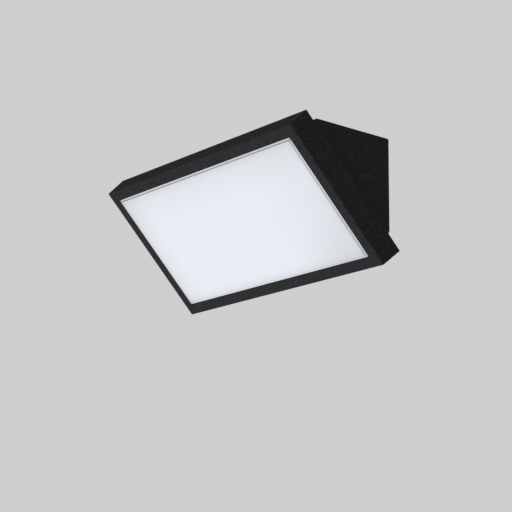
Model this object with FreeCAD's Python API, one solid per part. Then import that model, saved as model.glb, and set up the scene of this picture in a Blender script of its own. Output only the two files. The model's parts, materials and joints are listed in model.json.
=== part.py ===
"""A wedge-shaped LED wall pack light, in millimetres.

X runs along the light's width, the wall is the plane y = 0 with the light in front of it towards -Y, and Z
is up. The origin is the centre of the wall bracket's screw pattern, on the wall.

What belongs to the window is drawn upright: X across, Y as the depth behind the front face and Z as the
height up the front face from its bottom edge. leaned() then turns it forward to its place.
"""

import FreeCAD
import Part
import math
import os

V = FreeCAD.Vector

# ---------------------------------------------------------------- driving dimensions
WIDTH = 300.0                 # front frame across its front face
FRAME_HEIGHT = 137.8          # front frame up its front face
FRAME_DEPTH = 20.6
FRAME_DRAFT = 0.8             # the frame's back outline stands out by this much all round
FRAME_WALL = 3.0
FRAME_CORNER = 0.8
FRAME_EDGE_ROUND = 0.3
TILT = 41.0                   # the front face leans forward by this many degrees
WALL_GAP = 2.0                # from the frame's lower back edge to the wall

SIDE_BORDER = 11.05           # frame's face beside the window
TOP_BORDER = 9.95
BOTTOM_BORDER = 10.4
DIFFUSER_PROUD = 0.4          # how far the diffuser's rim stands out of the frame
DIFFUSER_PANEL_STEP = 1.7     # diffuser's edge to its raised panel
DIFFUSER_PANEL_PROUD = 0.65   # panel over the rim
DIFFUSER_WALL = 2.2
DIFFUSER_PLAY = 0.2

HOUSING_HEIGHT = 79.0         # at the wall
HOUSING_STEP_BELOW = 12.0     # frame's front outline to the housing's walls
HOUSING_STEP_ABOVE = 12.7
HOUSING_STEP_SIDE = 12.0
HOUSING_SIDE_DRAFT = 1.65     # degrees that the flanks close in towards the wall
HOUSING_TOP_RISE = 5.2        # degrees that the top rises towards the front
HOUSING_WALL = 3.0
HOUSING_ROUND_FRONT = 4.0
HOUSING_ROUND_TOP = 1.6
HOUSING_ROUND_BELOW = 4.5
HOUSING_ROUND_SIDE = 0.6

RIM_GAP = 0.3                 # from the housing's rim to the wall
WALL_GASKET = 2.0             # foam strip, which lies in a groove of the rim and meets the wall
WALL_GASKET_STRIP = 4.5
WALL_GASKET_EDGE = (132.8, -37.0, 37.0)   # half width, low and high of its outline
FLANGE = 3.0                  # housing's front flange, set inside the frame
FLANGE_PLAY = 0.3

POCKET_HALF_WIDTH = 105.0     # recess in the housing's back, which takes the bracket
POCKET_DEPTH = 12.0
POCKET_BOTTOM = -24.0
POCKET_TOP = 31.5

SLOT_SPACING_WIDE = 120.0     # bracket's screw slots
SLOT_SPACING_NARROW = 60.0
SLOT_WIDTH = 5.5
SLOT_LENGTH = 12.0
BRACKET_SHEET = 1.5
BRACKET_HALF = 90.0
BRACKET_LOW = -14.5
BRACKET_FOOT_DEPTH = 7.0      # the lower edge is bent forward by this much
BRACKET_CABLE_RADIUS = 13.0

M3, M4 = 1.5, 2.0             # screw shank radii
TAP_PLAY = 0.05               # threads are drawn as plain holes this much over the shank's radius

# ---------------------------------------------------------------- derived places
LEAN_SIN = math.sin(math.radians(TILT))
LEAN_COS = math.cos(math.radians(TILT))
FRAME_Y = -(WALL_GAP + FRAME_DEPTH * LEAN_COS)
# depth at which the housing's bottom wall reaches the wall plane, measured behind the front face
BOTTOM_REACH = (HOUSING_STEP_BELOW * LEAN_SIN - FRAME_Y) / LEAN_COS
FRAME_Z = -HOUSING_HEIGHT / 2 - HOUSING_STEP_BELOW * LEAN_COS - BOTTOM_REACH * LEAN_SIN
HALF = WIDTH / 2

WINDOW_HALF = HALF - SIDE_BORDER
WINDOW_LOW = BOTTOM_BORDER
WINDOW_HIGH = FRAME_HEIGHT - TOP_BORDER

FLANGE_BACK = FRAME_DEPTH
FLANGE_FRONT = FRAME_DEPTH - FLANGE
RIM_Y = -RIM_GAP
POCKET_FLOOR_Y = -POCKET_DEPTH
CHAMBER_Y = -POCKET_DEPTH - HOUSING_WALL   # inner face of the pocket's floor

# the stack between window and housing, as depths behind the front face
DIFFUSER_BACK = FRAME_WALL + 2.0
SEAL_BACK = DIFFUSER_BACK + 1.5
RIB_STEP = 9.0                # frame's outline to the housing's clamping rib
RIB_WALL = 2.0
TRAY_FRONT = 24.8
TRAY_SHEET = 2.0
BOARD = 1.6
CHIP = 0.8
REFLECTOR_SHEET = 0.8

FRAME_SCREW_STEP = 5.8
FRAME_BOSS_RADIUS = 2.9
FRAME_SCREW_X = (-(HALF - FRAME_SCREW_STEP), -50.0, 50.0, HALF - FRAME_SCREW_STEP)
FRAME_SCREW_Z = (FRAME_SCREW_STEP, FRAME_HEIGHT - FRAME_SCREW_STEP)

TRAY_HALF = 128.0
TRAY_LOW, TRAY_HIGH = 18.0, 119.0
TRAY_SCREW_X = (-117.0, 0.0, 117.0)
TRAY_SCREW_Z = (29.5, 109.5)
TRAY_BOSS_RADIUS = 5.0

BOARD_HALF = 118.0
BOARD_WIDTH = 14.0
BOARD_ROWS = (42.5, 69.5, 96.5)
CHIPS_PER_BOARD = 12
CHIP_PITCH = 18.0
BOARD_SCREW_X = (-5 * CHIP_PITCH, 5 * CHIP_PITCH)
CHIP_SIDE = 3.5
LINK_X = (-104.0, -96.0)

CONNECTOR_X = -111.0
CONNECTOR_SIDE = 8.0
CONNECTOR_BACK = 31.0
CONNECTOR_FRONT = 21.6

HOOK_X = 78.0
HOOK_HALF_WIDTH = 8.0
HOOK_BASE = 4.0               # top of the bracket hook's base
HOOK_LIP_TOP = 12.0
HOOK_LIP_Y = (-9.0, -7.5)
HOOK_REST = 0.4               # play under the housing's hook

LOCK_X = 50.0
LOCK_Y = -8.2
LOCK_TAB = (26.0, 28.0)
LOCK_TAB_HALF = 12.0
LOCK_TAB_DEPTH = 11.6
LOCK_BOSS_RADIUS = 8.0
LOCK_WASHER_RADIUS = 4.6
LOCK_WASHER = 1.0
LOCK_SEAT_Z = 34.5
LOCK_SPOT_RADIUS = 4.9

FLOOR_BOSS = 4.0              # height of the screw bosses on the chamber's back wall
FLOOR_BOSS_RADIUS = 3.4
DRIVER_X = (-98.0, -28.0)
DRIVER_Y = (-37.0, -16.0)
DRIVER_Z = (-1.0, 31.0)
DRIVER_EAR = 8.0
DRIVER_SKIN = 1.6
DRIVER_LID = 1.6
TERMINAL_X = (31.0, 69.0)
TERMINAL_Y = (-29.0, CHAMBER_Y)
TERMINAL_Z = (2.0, 24.0)
POLES = (("live", 38.0), ("neutral", 50.0), ("earth", 62.0))
TERMINAL_LUG = 8.0
LEVER_PIVOT_Y = -27.9
LEVER_PIVOT_Z = 20.0
LEVER_LENGTH = 14.0
LEVER_HALF_WIDTH = 4.2
LEVER_HALF_THICK = 1.2
LEVER_PIN = 1.0
LEVER_PIN_PLAY = 0.06
EARTH_AT = (86.0, 13.0)
CLAMP_X = 18.0
CLAMP_SCREW_Z = 9.0
CLAMP_POST = 9.0
CLAMP_POST_RADIUS = 3.2
CLAMP_BAR = 3.5               # the bar's thickness and half its width
VENT_BORE = 2.0
VENT_NECK = 3.8
VENT_CAP = 6.5
VENT_AT = (-60.0, -12.5)
GROMMET_BORE = 4.5
GROMMET_NECK = 9.0
GROMMET_FLANGE = 12.0
LEAD_RADIUS = 1.1
LEAD_Y = -29.0                # depth at which leads go into the driver's ends
LEAD_ENTRY_Y = -21.0          # and into the terminal block
LEAD_IN_CASE = 3.0
SUPPLY_EXITS = {"live": 8.0, "neutral": 14.0}
LED_EXITS = {"plus": 20.0, "minus": 14.0}


# ---------------------------------------------------------------- shape helpers
def box(x, y, z):
    """A box from three (low, high) pairs."""
    return Part.makeBox(x[1] - x[0], y[1] - y[0], z[1] - z[0], V(x[0], y[0], z[0]))


def round_edges(shape, radius, chosen):
    """Fillet the edges that chosen(edge) accepts."""
    return shape.makeFillet(radius, [e for e in shape.Edges if chosen(e)])


def along(edge, axis):
    """True for a straight edge that runs along one axis, 0 for X, 1 for Y and 2 for Z."""
    if len(edge.Vertexes) != 2:
        return False
    run = edge.Vertexes[1].Point.sub(edge.Vertexes[0].Point)
    others = [abs(run[i]) for i in range(3) if i != axis]
    return isinstance(edge.Curve, Part.Line) and max(others) < 1e-6


def rounded_box(x, y, z, radius, axis=1):
    """A box whose four edges along one axis are rounded."""
    return round_edges(box(x, y, z), radius, lambda e: along(e, axis))


def cylinder(radius, start, end):
    """A cylinder between two points."""
    start, end = V(*start), V(*end)
    run = end.sub(start)
    return Part.makeCylinder(radius, run.Length, start, run)


def prism_x(points, x):
    """A prism along X over a closed polygon of (y, z) points."""
    wire = Part.makePolygon([V(x[0], y, z) for y, z in list(points) + [points[0]]])
    return Part.Face(wire).extrude(V(x[1] - x[0], 0, 0))


def rectangle_wire(half, low, high, radius, y):
    """A rounded rectangle in a plane of constant depth."""
    slab = rounded_box((-half, half), (y, y + 1.0), (low, high), radius)
    faces = [f for f in slab.Faces if abs(f.CenterOfMass.y - y) < 1e-6]
    return faces[0].OuterWire


def plate(half, low, high, y, radius=1.0):
    """A rounded plate between two depths."""
    return rounded_box((-half, half), y, (low, high), radius)


def frustum(front, back, radius):
    """A block between two upright rectangles, each (half width, low, high, depth)."""
    wires = [rectangle_wire(half, low, high, radius, y) for half, low, high, y in (front, back)]
    return Part.makeLoft(wires, True, True)


def ring(outer, inner, y, radius=1.0):
    """A flat rectangular ring; outer and inner are (half width, low, high)."""
    hole = plate(*inner, (y[0] - 1.0, y[1] + 1.0), radius)
    return plate(*outer, y, radius + outer[0] - inner[0]).cut(hole)


def inset(step):
    """The window side's rectangle, drawn in by a step from the frame's front outline."""
    return HALF - step, step, FRAME_HEIGHT - step


LEAN = FreeCAD.Placement(V(0, FRAME_Y, FRAME_Z), FreeCAD.Rotation(V(1, 0, 0), TILT))


def leaned(shape):
    """Turn a shape drawn upright to its place behind the leaning front face."""
    moved = shape.copy()
    moved.Placement = LEAN.multiply(shape.Placement)
    return moved


def leaned_point(x, depth, height):
    return LEAN.multVec(V(x, depth, height))


def hexagon(radius, depth):
    """A hexagonal bar from z = 0 downwards."""
    corners = [V(radius * math.cos(math.radians(60 * i)), radius * math.sin(math.radians(60 * i)), 0)
               for i in range(7)]
    return Part.Face(Part.makePolygon(corners)).extrude(V(0, 0, -depth))


def screw(at, direction, shank, length, head, height):
    """A button-head screw with a hexagon socket. at is the point under its head."""
    dome = Part.makeCylinder(head, height)
    dome = round_edges(dome, height * 0.55, lambda e: abs(e.CenterOfMass.z - height) < 1e-6)
    socket = hexagon(shank * 0.72, height * 0.62)
    socket.translate(V(0, 0, height + 0.01))
    tip = Part.makeCone(shank * 0.6, shank, 0.8, V(0, 0, -length))
    body = Part.makeCylinder(shank, length - 0.8, V(0, 0, -length + 0.8))
    solid = dome.fuse([body, tip]).removeSplitter().cut(socket)
    solid.Placement = FreeCAD.Placement(V(*at), FreeCAD.Rotation(V(0, 0, -1), V(*direction)))
    return solid


def bent_tube(points, radius):
    """A tube along straight runs joined by tangent arcs, each as large as its runs allow."""
    points = [V(*p) for p in points]
    edges = []
    here = points[0]
    for before, corner, after in zip(points, points[1:], points[2:]):
        back = before.sub(corner)
        on = after.sub(corner)
        half_turn = (math.pi - back.getAngle(on)) / 2
        trim = 0.45 * min(back.Length, on.Length)
        arc_start = corner.add(back.normalize() * trim)
        arc_end = corner.add(on.normalize() * trim)
        bisector = back.add(on).normalize()
        arc_radius = trim / math.tan(half_turn)
        centre = corner.add(bisector * (arc_radius / math.cos(half_turn)))
        middle = centre.sub(bisector * arc_radius)
        edges.append(Part.LineSegment(here, arc_start).toShape())
        edges.append(Part.Arc(arc_start, middle, arc_end).toShape())
        here = arc_end
    edges.append(Part.LineSegment(here, points[-1]).toShape())
    path = Part.Wire(edges)
    section = Part.Wire(Part.makeCircle(radius, points[0], points[1].sub(points[0])))
    return path.makePipeShell([section], True, False)


# ---------------------------------------------------------------- front frame and window
def front_frame():
    back_half = HALF + FRAME_DRAFT
    outer = frustum(
        (HALF, 0, FRAME_HEIGHT, 0),
        (back_half, -FRAME_DRAFT, FRAME_HEIGHT + FRAME_DRAFT, FRAME_DEPTH),
        FRAME_CORNER,
    )
    outer = round_edges(outer, FRAME_EDGE_ROUND, lambda e: abs(e.CenterOfMass.y) < 1e-6)
    hollow = frustum(
        (HALF - FRAME_WALL, FRAME_WALL, FRAME_HEIGHT - FRAME_WALL, FRAME_WALL),
        (
            back_half - FRAME_WALL,
            FRAME_WALL - FRAME_DRAFT,
            FRAME_HEIGHT + FRAME_DRAFT - FRAME_WALL,
            FRAME_DEPTH + 0.01,
        ),
        FRAME_CORNER / 2,
    )
    window = plate(WINDOW_HALF, WINDOW_LOW, WINDOW_HIGH, (-1, FRAME_WALL + 1), 1.2)
    bosses = [
        cylinder(FRAME_BOSS_RADIUS, (x, FRAME_WALL - 0.5, z), (x, FLANGE_FRONT, z))
        for x in FRAME_SCREW_X for z in FRAME_SCREW_Z
    ]
    holes = [
        cylinder(M3 + TAP_PLAY, (x, FLANGE_FRONT - 9, z), (x, FLANGE_FRONT + 1, z))
        for x in FRAME_SCREW_X for z in FRAME_SCREW_Z
    ]
    return leaned(outer.cut([hollow, window]).fuse(bosses).removeSplitter().cut(holes))


def frame_screws():
    return [
        leaned(screw((x, FLANGE_BACK, z), (0, -1, 0), M3, 11.0, 2.75, 1.8))
        for x in FRAME_SCREW_X for z in FRAME_SCREW_Z
    ]


def diffuser():
    half = WINDOW_HALF - DIFFUSER_PLAY
    low = WINDOW_LOW + DIFFUSER_PLAY
    high = WINDOW_HIGH - DIFFUSER_PLAY
    tray = plate(half, low, high, (-DIFFUSER_PROUD, DIFFUSER_BACK), 1.2)
    tray = round_edges(tray, 0.25, lambda e: abs(e.CenterOfMass.y + DIFFUSER_PROUD) < 1e-6)
    front = -DIFFUSER_PROUD - DIFFUSER_PANEL_PROUD
    step = DIFFUSER_PANEL_STEP
    panel = plate(half - step, low + step, high - step, (front, 0.5), 1.0)
    panel = round_edges(panel, 0.3, lambda e: abs(e.CenterOfMass.y - front) < 1e-6)
    lip = plate(*inset(RIB_STEP), (FRAME_WALL, DIFFUSER_BACK), 1.5)
    inside = plate(
        half - DIFFUSER_WALL, low + DIFFUSER_WALL, high - DIFFUSER_WALL,
        (DIFFUSER_WALL - DIFFUSER_PROUD, DIFFUSER_BACK + 1), 1.0,
    )
    return leaned(tray.fuse([lip, panel]).removeSplitter().cut(inside))


def diffuser_seal():
    return leaned(ring(inset(RIB_STEP + 0.1), inset(RIB_STEP + RIB_WALL), (DIFFUSER_BACK, SEAL_BACK), 0.4))


# ---------------------------------------------------------------- light engine
def reflector():
    sheet = REFLECTOR_SHEET
    mouth = (135.0, 15.0, 122.2, SEAL_BACK + 0.3)
    floor = (122.5, 24.0, 115.0, TRAY_FRONT)
    outer = frustum(mouth, floor, 3.0)
    inner_mouth = (mouth[0] - sheet, mouth[1] + sheet, mouth[2] - sheet, mouth[3] - 0.01)
    inner_floor = (floor[0] - sheet, floor[1] + sheet, floor[2] - sheet, floor[3] - sheet)
    pan = outer.cut(frustum(inner_mouth, inner_floor, 2.2))
    windows = [
        box((-BOARD_HALF - 1, BOARD_HALF + 1), (TRAY_FRONT - 2, TRAY_FRONT + 1),
            (row - BOARD_WIDTH / 2 - 1, row + BOARD_WIDTH / 2 + 1))
        for row in BOARD_ROWS
    ]
    holes = [
        cylinder(M4 + 0.3, (x, TRAY_FRONT - 2, z), (x, TRAY_FRONT + 1, z))
        for x in TRAY_SCREW_X for z in TRAY_SCREW_Z
    ]
    return leaned(pan.cut(windows + holes))


def connector_hole(play):
    row = BOARD_ROWS[1]
    reach = CONNECTOR_SIDE / 2 + play
    return box((CONNECTOR_X - reach, CONNECTOR_X + reach), (CONNECTOR_FRONT, CONNECTOR_BACK),
               (row - reach, row + reach))


def led_tray():
    back = TRAY_FRONT + TRAY_SHEET
    sheet = plate(TRAY_HALF, TRAY_LOW, TRAY_HIGH, (TRAY_FRONT, back), 2.0)
    holes = [
        cylinder(M4 + 0.3, (x, TRAY_FRONT - 1, z), (x, back + 1, z))
        for x in TRAY_SCREW_X for z in TRAY_SCREW_Z
    ]
    taps = [
        cylinder(M3 + TAP_PLAY, (x, TRAY_FRONT - 1, row), (x, back + 1, row))
        for x in BOARD_SCREW_X for row in BOARD_ROWS
    ]
    return leaned(sheet.cut(holes + taps + [connector_hole(0.2)]))


def tray_screws():
    seat = TRAY_FRONT - REFLECTOR_SHEET
    return [
        leaned(screw((x, seat, z), (0, 1, 0), M4, 10.0, 3.6, 2.2))
        for x in TRAY_SCREW_X for z in TRAY_SCREW_Z
    ]


def led_board(row):
    board = box((-BOARD_HALF, BOARD_HALF), (TRAY_FRONT - BOARD, TRAY_FRONT),
                (row - BOARD_WIDTH / 2, row + BOARD_WIDTH / 2))
    holes = [
        cylinder(M3 + 0.15, (x, TRAY_FRONT - BOARD - 1, row), (x, TRAY_FRONT + 1, row))
        for x in BOARD_SCREW_X
    ]
    if row == BOARD_ROWS[1]:
        holes.append(connector_hole(0.2))
    return leaned(board.cut(holes))


def chip_places():
    """Chips stand at an even pitch along each board, clear of its screws."""
    first = -CHIP_PITCH * (CHIPS_PER_BOARD - 1) / 2
    return [(first + CHIP_PITCH * i, row) for row in BOARD_ROWS for i in range(CHIPS_PER_BOARD)]


def led_chips():
    front = TRAY_FRONT - BOARD - CHIP
    reach = CHIP_SIDE / 2
    chips = []
    for x, row in chip_places():
        body = box((x - reach, x + reach), (front, front + CHIP), (row - reach, row + reach))
        chips.append(leaned(body.cut(cylinder(reach * 0.8, (x, front - 1, row), (x, front + 0.3, row)))))
    return chips


def board_screws():
    seat = TRAY_FRONT - BOARD
    return [
        leaned(screw((x, seat, row), (0, 1, 0), M3, 4.5, 2.6, 1.6))
        for x in BOARD_SCREW_X for row in BOARD_ROWS
    ]


def board_links():
    """Flat jumpers that carry the supply from the middle board to the other two."""
    face = TRAY_FRONT - BOARD
    overlap = 3.0
    links = []
    for low, high in zip(BOARD_ROWS, BOARD_ROWS[1:]):
        reach = (low + BOARD_WIDTH / 2 - overlap, high - BOARD_WIDTH / 2 + overlap)
        links.append(leaned(box(LINK_X, (face - 0.35, face), reach)))
    return links


def board_connector():
    body = connector_hole(0.0)
    nose = box((CONNECTOR_X - 5.2, CONNECTOR_X + 5.2),
               (CONNECTOR_FRONT, TRAY_FRONT - BOARD),
               (BOARD_ROWS[1] - 5.2, BOARD_ROWS[1] + 5.2))
    nose = round_edges(nose, 0.6, lambda e: abs(e.CenterOfMass.y - CONNECTOR_FRONT) < 1e-6)
    return leaned(body.fuse(nose).removeSplitter())


# ---------------------------------------------------------------- housing
def line_meeting(first, second):
    """Where two lines meet; each is (point, direction) in (y, z)."""
    (ay, az), (au, av) = first
    (by, bz), (bu, bv) = second
    cross = au * bv - av * bu
    t = ((by - ay) * bv - (bz - az) * bu) / cross
    return ay + t * au, az + t * av


def housing_profile(wall, back, front_depth):
    """The wedge's section as (y, z) corners, with its walls drawn in by a thickness."""
    rise = math.radians(HOUSING_TOP_RISE)
    behind = (LEAN_COS, LEAN_SIN)
    up = (-LEAN_SIN, LEAN_COS)

    def on_face(height, depth):
        return (FRAME_Y + height * up[0] + depth * behind[0], FRAME_Z + height * up[1] + depth * behind[1])

    bottom = (on_face(HOUSING_STEP_BELOW + wall, 0), behind)
    rear = ((back, 0), (0, 1))
    top = ((0, HOUSING_HEIGHT / 2 - wall / math.cos(rise)), (-math.cos(rise), math.sin(rise)))
    shoulder = (on_face(FRAME_HEIGHT - HOUSING_STEP_ABOVE - wall, 0), behind)
    mouth = (on_face(0, front_depth), up)
    lines = [mouth, bottom, rear, top, shoulder]
    return [line_meeting(a, b) for a, b in zip(lines, lines[1:] + lines[:1])]


def housing_plan(wall, reach):
    """A tall block with the two flanks' draft, to be met with the section's prism."""
    slope = math.tan(math.radians(HOUSING_SIDE_DRAFT))
    front_y = FRAME_Y - FRAME_HEIGHT * LEAN_SIN
    half_front = HALF - HOUSING_STEP_SIDE - wall
    half_back = half_front + (front_y + FRAME_DEPTH * LEAN_COS) * slope
    corners = [(-half_back, 0), (half_back, 0), (half_front, front_y), (-half_front, front_y)]
    wire = Part.makePolygon([V(x, y, -reach) for x, y in corners + corners[:1]])
    return Part.Face(wire).extrude(V(0, 0, 2 * reach))


def lies_at(edge, y, z):
    middle = edge.CenterOfMass
    return abs(middle.y - y) + abs(middle.z - z) < 1e-3


def wedge(wall, back, front_depth, rounds=None):
    """The wedge's solid; rounds gives the radii at the bottom, top and shoulder edges."""
    profile = housing_profile(wall, back, front_depth)
    solid = prism_x(profile, (-WIDTH, WIDTH))
    if rounds:
        for corner, radius in zip(profile[1:4], rounds):
            solid = round_edges(solid, radius, lambda e: along(e, 0) and lies_at(e, *corner))
    return solid.common(housing_plan(wall, WIDTH))


def pocket(grow):
    return box(
        (-POCKET_HALF_WIDTH - grow, POCKET_HALF_WIDTH + grow),
        (POCKET_FLOOR_Y - grow, 5.0),
        (POCKET_BOTTOM - grow, POCKET_TOP + grow),
    )


def floor_screw_places():
    """(x, z) of each screw boss on the chamber's back wall."""
    middle = (DRIVER_Z[0] + DRIVER_Z[1]) / 2
    lug_z = (TERMINAL_Z[0] + TERMINAL_Z[1]) / 2
    ear, lug = DRIVER_EAR / 2, TERMINAL_LUG / 2
    return {
        "driver": [(DRIVER_X[0] - ear, middle), (DRIVER_X[1] + ear, middle)],
        "terminal": [(TERMINAL_X[0] - lug, lug_z), (TERMINAL_X[1] + lug, lug_z)],
        "earth": [EARTH_AT],
    }


def housing_hooks():
    """Cast hooks on the pocket's floor, which hang on the bracket's."""
    front, plate_face = HOOK_LIP_Y[1], -BRACKET_SHEET
    hooks = []
    for side in (-1, 1):
        x = (side * HOOK_X - 7.0, side * HOOK_X + 7.0)
        back = plate_face - 1.1
        hooks.append(box(x, (POCKET_FLOOR_Y - 1, back), (HOOK_LIP_TOP + 0.5, HOOK_LIP_TOP + 4.0)))
        hooks.append(box(x, (front + 0.4, back), (HOOK_BASE + HOOK_REST, HOOK_LIP_TOP + 1.0)))
    return hooks


def housing():
    shell = wedge(0, 0, FLANGE_BACK - 1, (HOUSING_ROUND_BELOW, HOUSING_ROUND_TOP, HOUSING_ROUND_FRONT))
    shell = round_edges(shell, HOUSING_ROUND_SIDE, is_flank_edge)
    rim_cut = box((-WIDTH, WIDTH), (RIM_Y, 10), (-WIDTH, WIDTH))
    outer = shell.cut(rim_cut)

    flange_half = HALF - FRAME_WALL - FLANGE_PLAY
    flange = leaned(plate(flange_half, FRAME_WALL + FLANGE_PLAY, FRAME_HEIGHT - FRAME_WALL - FLANGE_PLAY,
                          (FLANGE_FRONT, FLANGE_BACK), 1.5))
    rib = leaned(ring(inset(RIB_STEP), inset(RIB_STEP + RIB_WALL), (SEAL_BACK, FLANGE_FRONT + 0.5), 0.5))
    body = outer.fuse([flange, rib])

    cavity = wedge(HOUSING_WALL, RIM_Y - HOUSING_WALL, FLANGE_FRONT - 1)
    cavity = cavity.cut(pocket(HOUSING_WALL))
    body = body.cut(cavity).cut(pocket(0))

    posts = []
    for x in TRAY_SCREW_X:
        for z in TRAY_SCREW_Z:
            posts.append(cylinder(TRAY_BOSS_RADIUS, (x, TRAY_FRONT + TRAY_SHEET, z), (x, 60, z)))
    posts = [leaned(p) for p in posts]
    for places in floor_screw_places().values():
        for x, z in places:
            posts.append(cylinder(FLOOR_BOSS_RADIUS, (x, CHAMBER_Y + 1, z), (x, CHAMBER_Y - FLOOR_BOSS, z)))
    for side in (-1, 1):
        z = side * CLAMP_SCREW_Z
        foot, head = CHAMBER_Y + 1, CHAMBER_Y - CLAMP_POST
        posts.append(cylinder(CLAMP_POST_RADIUS, (CLAMP_X, foot, z), (CLAMP_X, head, z)))
        x = side * LOCK_X
        posts.append(cylinder(LOCK_BOSS_RADIUS, (x, LOCK_Y, POCKET_TOP), (x, LOCK_Y, POCKET_TOP + 20)))
    posts = [p.common(outer).cut(pocket(0)) for p in posts]
    body = body.fuse(posts + housing_hooks()).removeSplitter()
    return body.cut(housing_holes() + [gasket_ring(0.15, (-WALL_GASKET, 5.0))])


def is_flank_edge(edge):
    """True for an edge that lies all along on one of the wedge's two flanks, except at its mouth."""
    slope = math.tan(math.radians(HOUSING_SIDE_DRAFT))
    front_y = FRAME_Y - FRAME_HEIGHT * LEAN_SIN
    half_front = HALF - HOUSING_STEP_SIDE
    half_back = half_front + (front_y + FRAME_DEPTH * LEAN_COS) * slope
    mouth = FLANGE_BACK - 1
    ends = [v.Point for v in edge.Vertexes]
    for point in ends + [edge.CenterOfMass]:
        flank = half_back + (half_front - half_back) * point.y / front_y
        if abs(abs(point.x) - flank) > 0.05:
            return False
    depths = [LEAN.inverse().multVec(p).y for p in ends]
    return max(depths) - mouth > 1e-3


def housing_holes():
    holes = []
    for x in FRAME_SCREW_X:
        for z in FRAME_SCREW_Z:
            holes.append(leaned(cylinder(M3 + 0.2, (x, FLANGE_FRONT - 1, z), (x, FLANGE_BACK + 1, z))))
    for x in TRAY_SCREW_X:
        for z in TRAY_SCREW_Z:
            start = TRAY_FRONT + TRAY_SHEET
            holes.append(leaned(cylinder(M4 + TAP_PLAY, (x, start - 1, z), (x, start + 8.5, z))))
    tap_end = POCKET_FLOOR_Y - 1.2
    for name, places in floor_screw_places().items():
        tap = (M4 if name == "earth" else M3) + TAP_PLAY
        for x, z in places:
            holes.append(cylinder(tap, (x, tap_end, z), (x, CHAMBER_Y - FLOOR_BOSS - 1, z)))
    for side in (-1, 1):
        z = side * CLAMP_SCREW_Z
        holes.append(cylinder(M3 + TAP_PLAY, (CLAMP_X, tap_end, z), (CLAMP_X, CHAMBER_Y - CLAMP_POST - 1, z)))
        x = side * LOCK_X
        holes.append(cylinder(M4 + 0.3, (x, LOCK_Y, POCKET_TOP - 1), (x, LOCK_Y, LOCK_SEAT_Z + 1)))
        holes.append(cylinder(LOCK_SPOT_RADIUS, (x, LOCK_Y, LOCK_SEAT_Z), (x, LOCK_Y, LOCK_SEAT_Z + 20)))
    holes.append(cylinder(GROMMET_NECK, (0, POCKET_FLOOR_Y + 1, 0), (0, CHAMBER_Y - 1, 0)))
    x, z = VENT_AT
    holes.append(cylinder(VENT_NECK + 0.2, (x, POCKET_FLOOR_Y + 1, z), (x, CHAMBER_Y - 1, z)))
    return holes


# ---------------------------------------------------------------- wall side
def gasket_ring(play, y):
    """The gasket's outline as a flat ring, widened by some play on both sides."""
    half, low, high = WALL_GASKET_EDGE
    strip = WALL_GASKET_STRIP
    outer = (half + play, low - play, high + play)
    inner = (half - strip - play, low + strip + play, high - strip - play)
    return ring(outer, inner, y, 2.0)


def wall_gasket():
    return gasket_ring(0.0, (-WALL_GASKET, 0))


def slot(x, z):
    """A screw slot that lies along X, cut right through the bracket's sheet."""
    reach = (SLOT_LENGTH - SLOT_WIDTH) / 2
    radius = SLOT_WIDTH / 2
    y = (-BRACKET_SHEET - 1, 1)
    ends = [cylinder(radius, (x + s * reach, y[0], z), (x + s * reach, y[1], z)) for s in (-1, 1)]
    middle = box((x - reach, x + reach), y, (z - radius, z + radius))
    return middle.fuse(ends).removeSplitter()


def wall_bracket():
    sheet = BRACKET_SHEET
    half, low, high = BRACKET_HALF, BRACKET_LOW, LOCK_TAB[1]
    back = rounded_box((-half, half), (-sheet, 0), (low, high), 3.0)
    foot = box((-half + 6, half - 6), (-BRACKET_FOOT_DEPTH, -sheet / 2), (low, low + sheet))
    additions = [foot]
    holes = [cylinder(BRACKET_CABLE_RADIUS, (0, -sheet - 1, 0), (0, 1, 0))]
    for side in (-1, 1):
        lock = side * LOCK_X
        tab_x = (lock - LOCK_TAB_HALF, lock + LOCK_TAB_HALF)
        additions.append(box(tab_x, (-LOCK_TAB_DEPTH, -sheet / 2), LOCK_TAB))
        hook_x = (side * HOOK_X - HOOK_HALF_WIDTH, side * HOOK_X + HOOK_HALF_WIDTH)
        additions.append(box(hook_x, (HOOK_LIP_Y[0], -sheet / 2), (HOOK_BASE - sheet, HOOK_BASE)))
        additions.append(box(hook_x, HOOK_LIP_Y, (HOOK_BASE - sheet, HOOK_LIP_TOP)))
        holes.append(box(hook_x, (-sheet - 0.01, 1), (HOOK_BASE, HOOK_LIP_TOP)))
        holes.append(slot(side * SLOT_SPACING_WIDE / 2, 0))
        holes.append(slot(side * SLOT_SPACING_NARROW / 2, 0))
        holes.append(cylinder(M4 + 0.1, (lock, LOCK_Y, LOCK_TAB[0] - 1), (lock, LOCK_Y, LOCK_TAB[1] + 1)))
    return back.fuse(additions).removeSplitter().cut(holes)


def lock_screws():
    seat = LOCK_SEAT_Z + LOCK_WASHER
    return [screw((side * LOCK_X, LOCK_Y, seat), (0, 0, -1), M4, 13.0, 3.8, 2.6) for side in (-1, 1)]


def lock_washers():
    washers = []
    for side in (-1, 1):
        x, bottom, top = side * LOCK_X, LOCK_SEAT_Z, LOCK_SEAT_Z + LOCK_WASHER
        disc = cylinder(LOCK_WASHER_RADIUS, (x, LOCK_Y, bottom), (x, LOCK_Y, top))
        washers.append(disc.cut(cylinder(M4 + 0.15, (x, LOCK_Y, bottom - 1), (x, LOCK_Y, top + 1))))
    return washers


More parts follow.
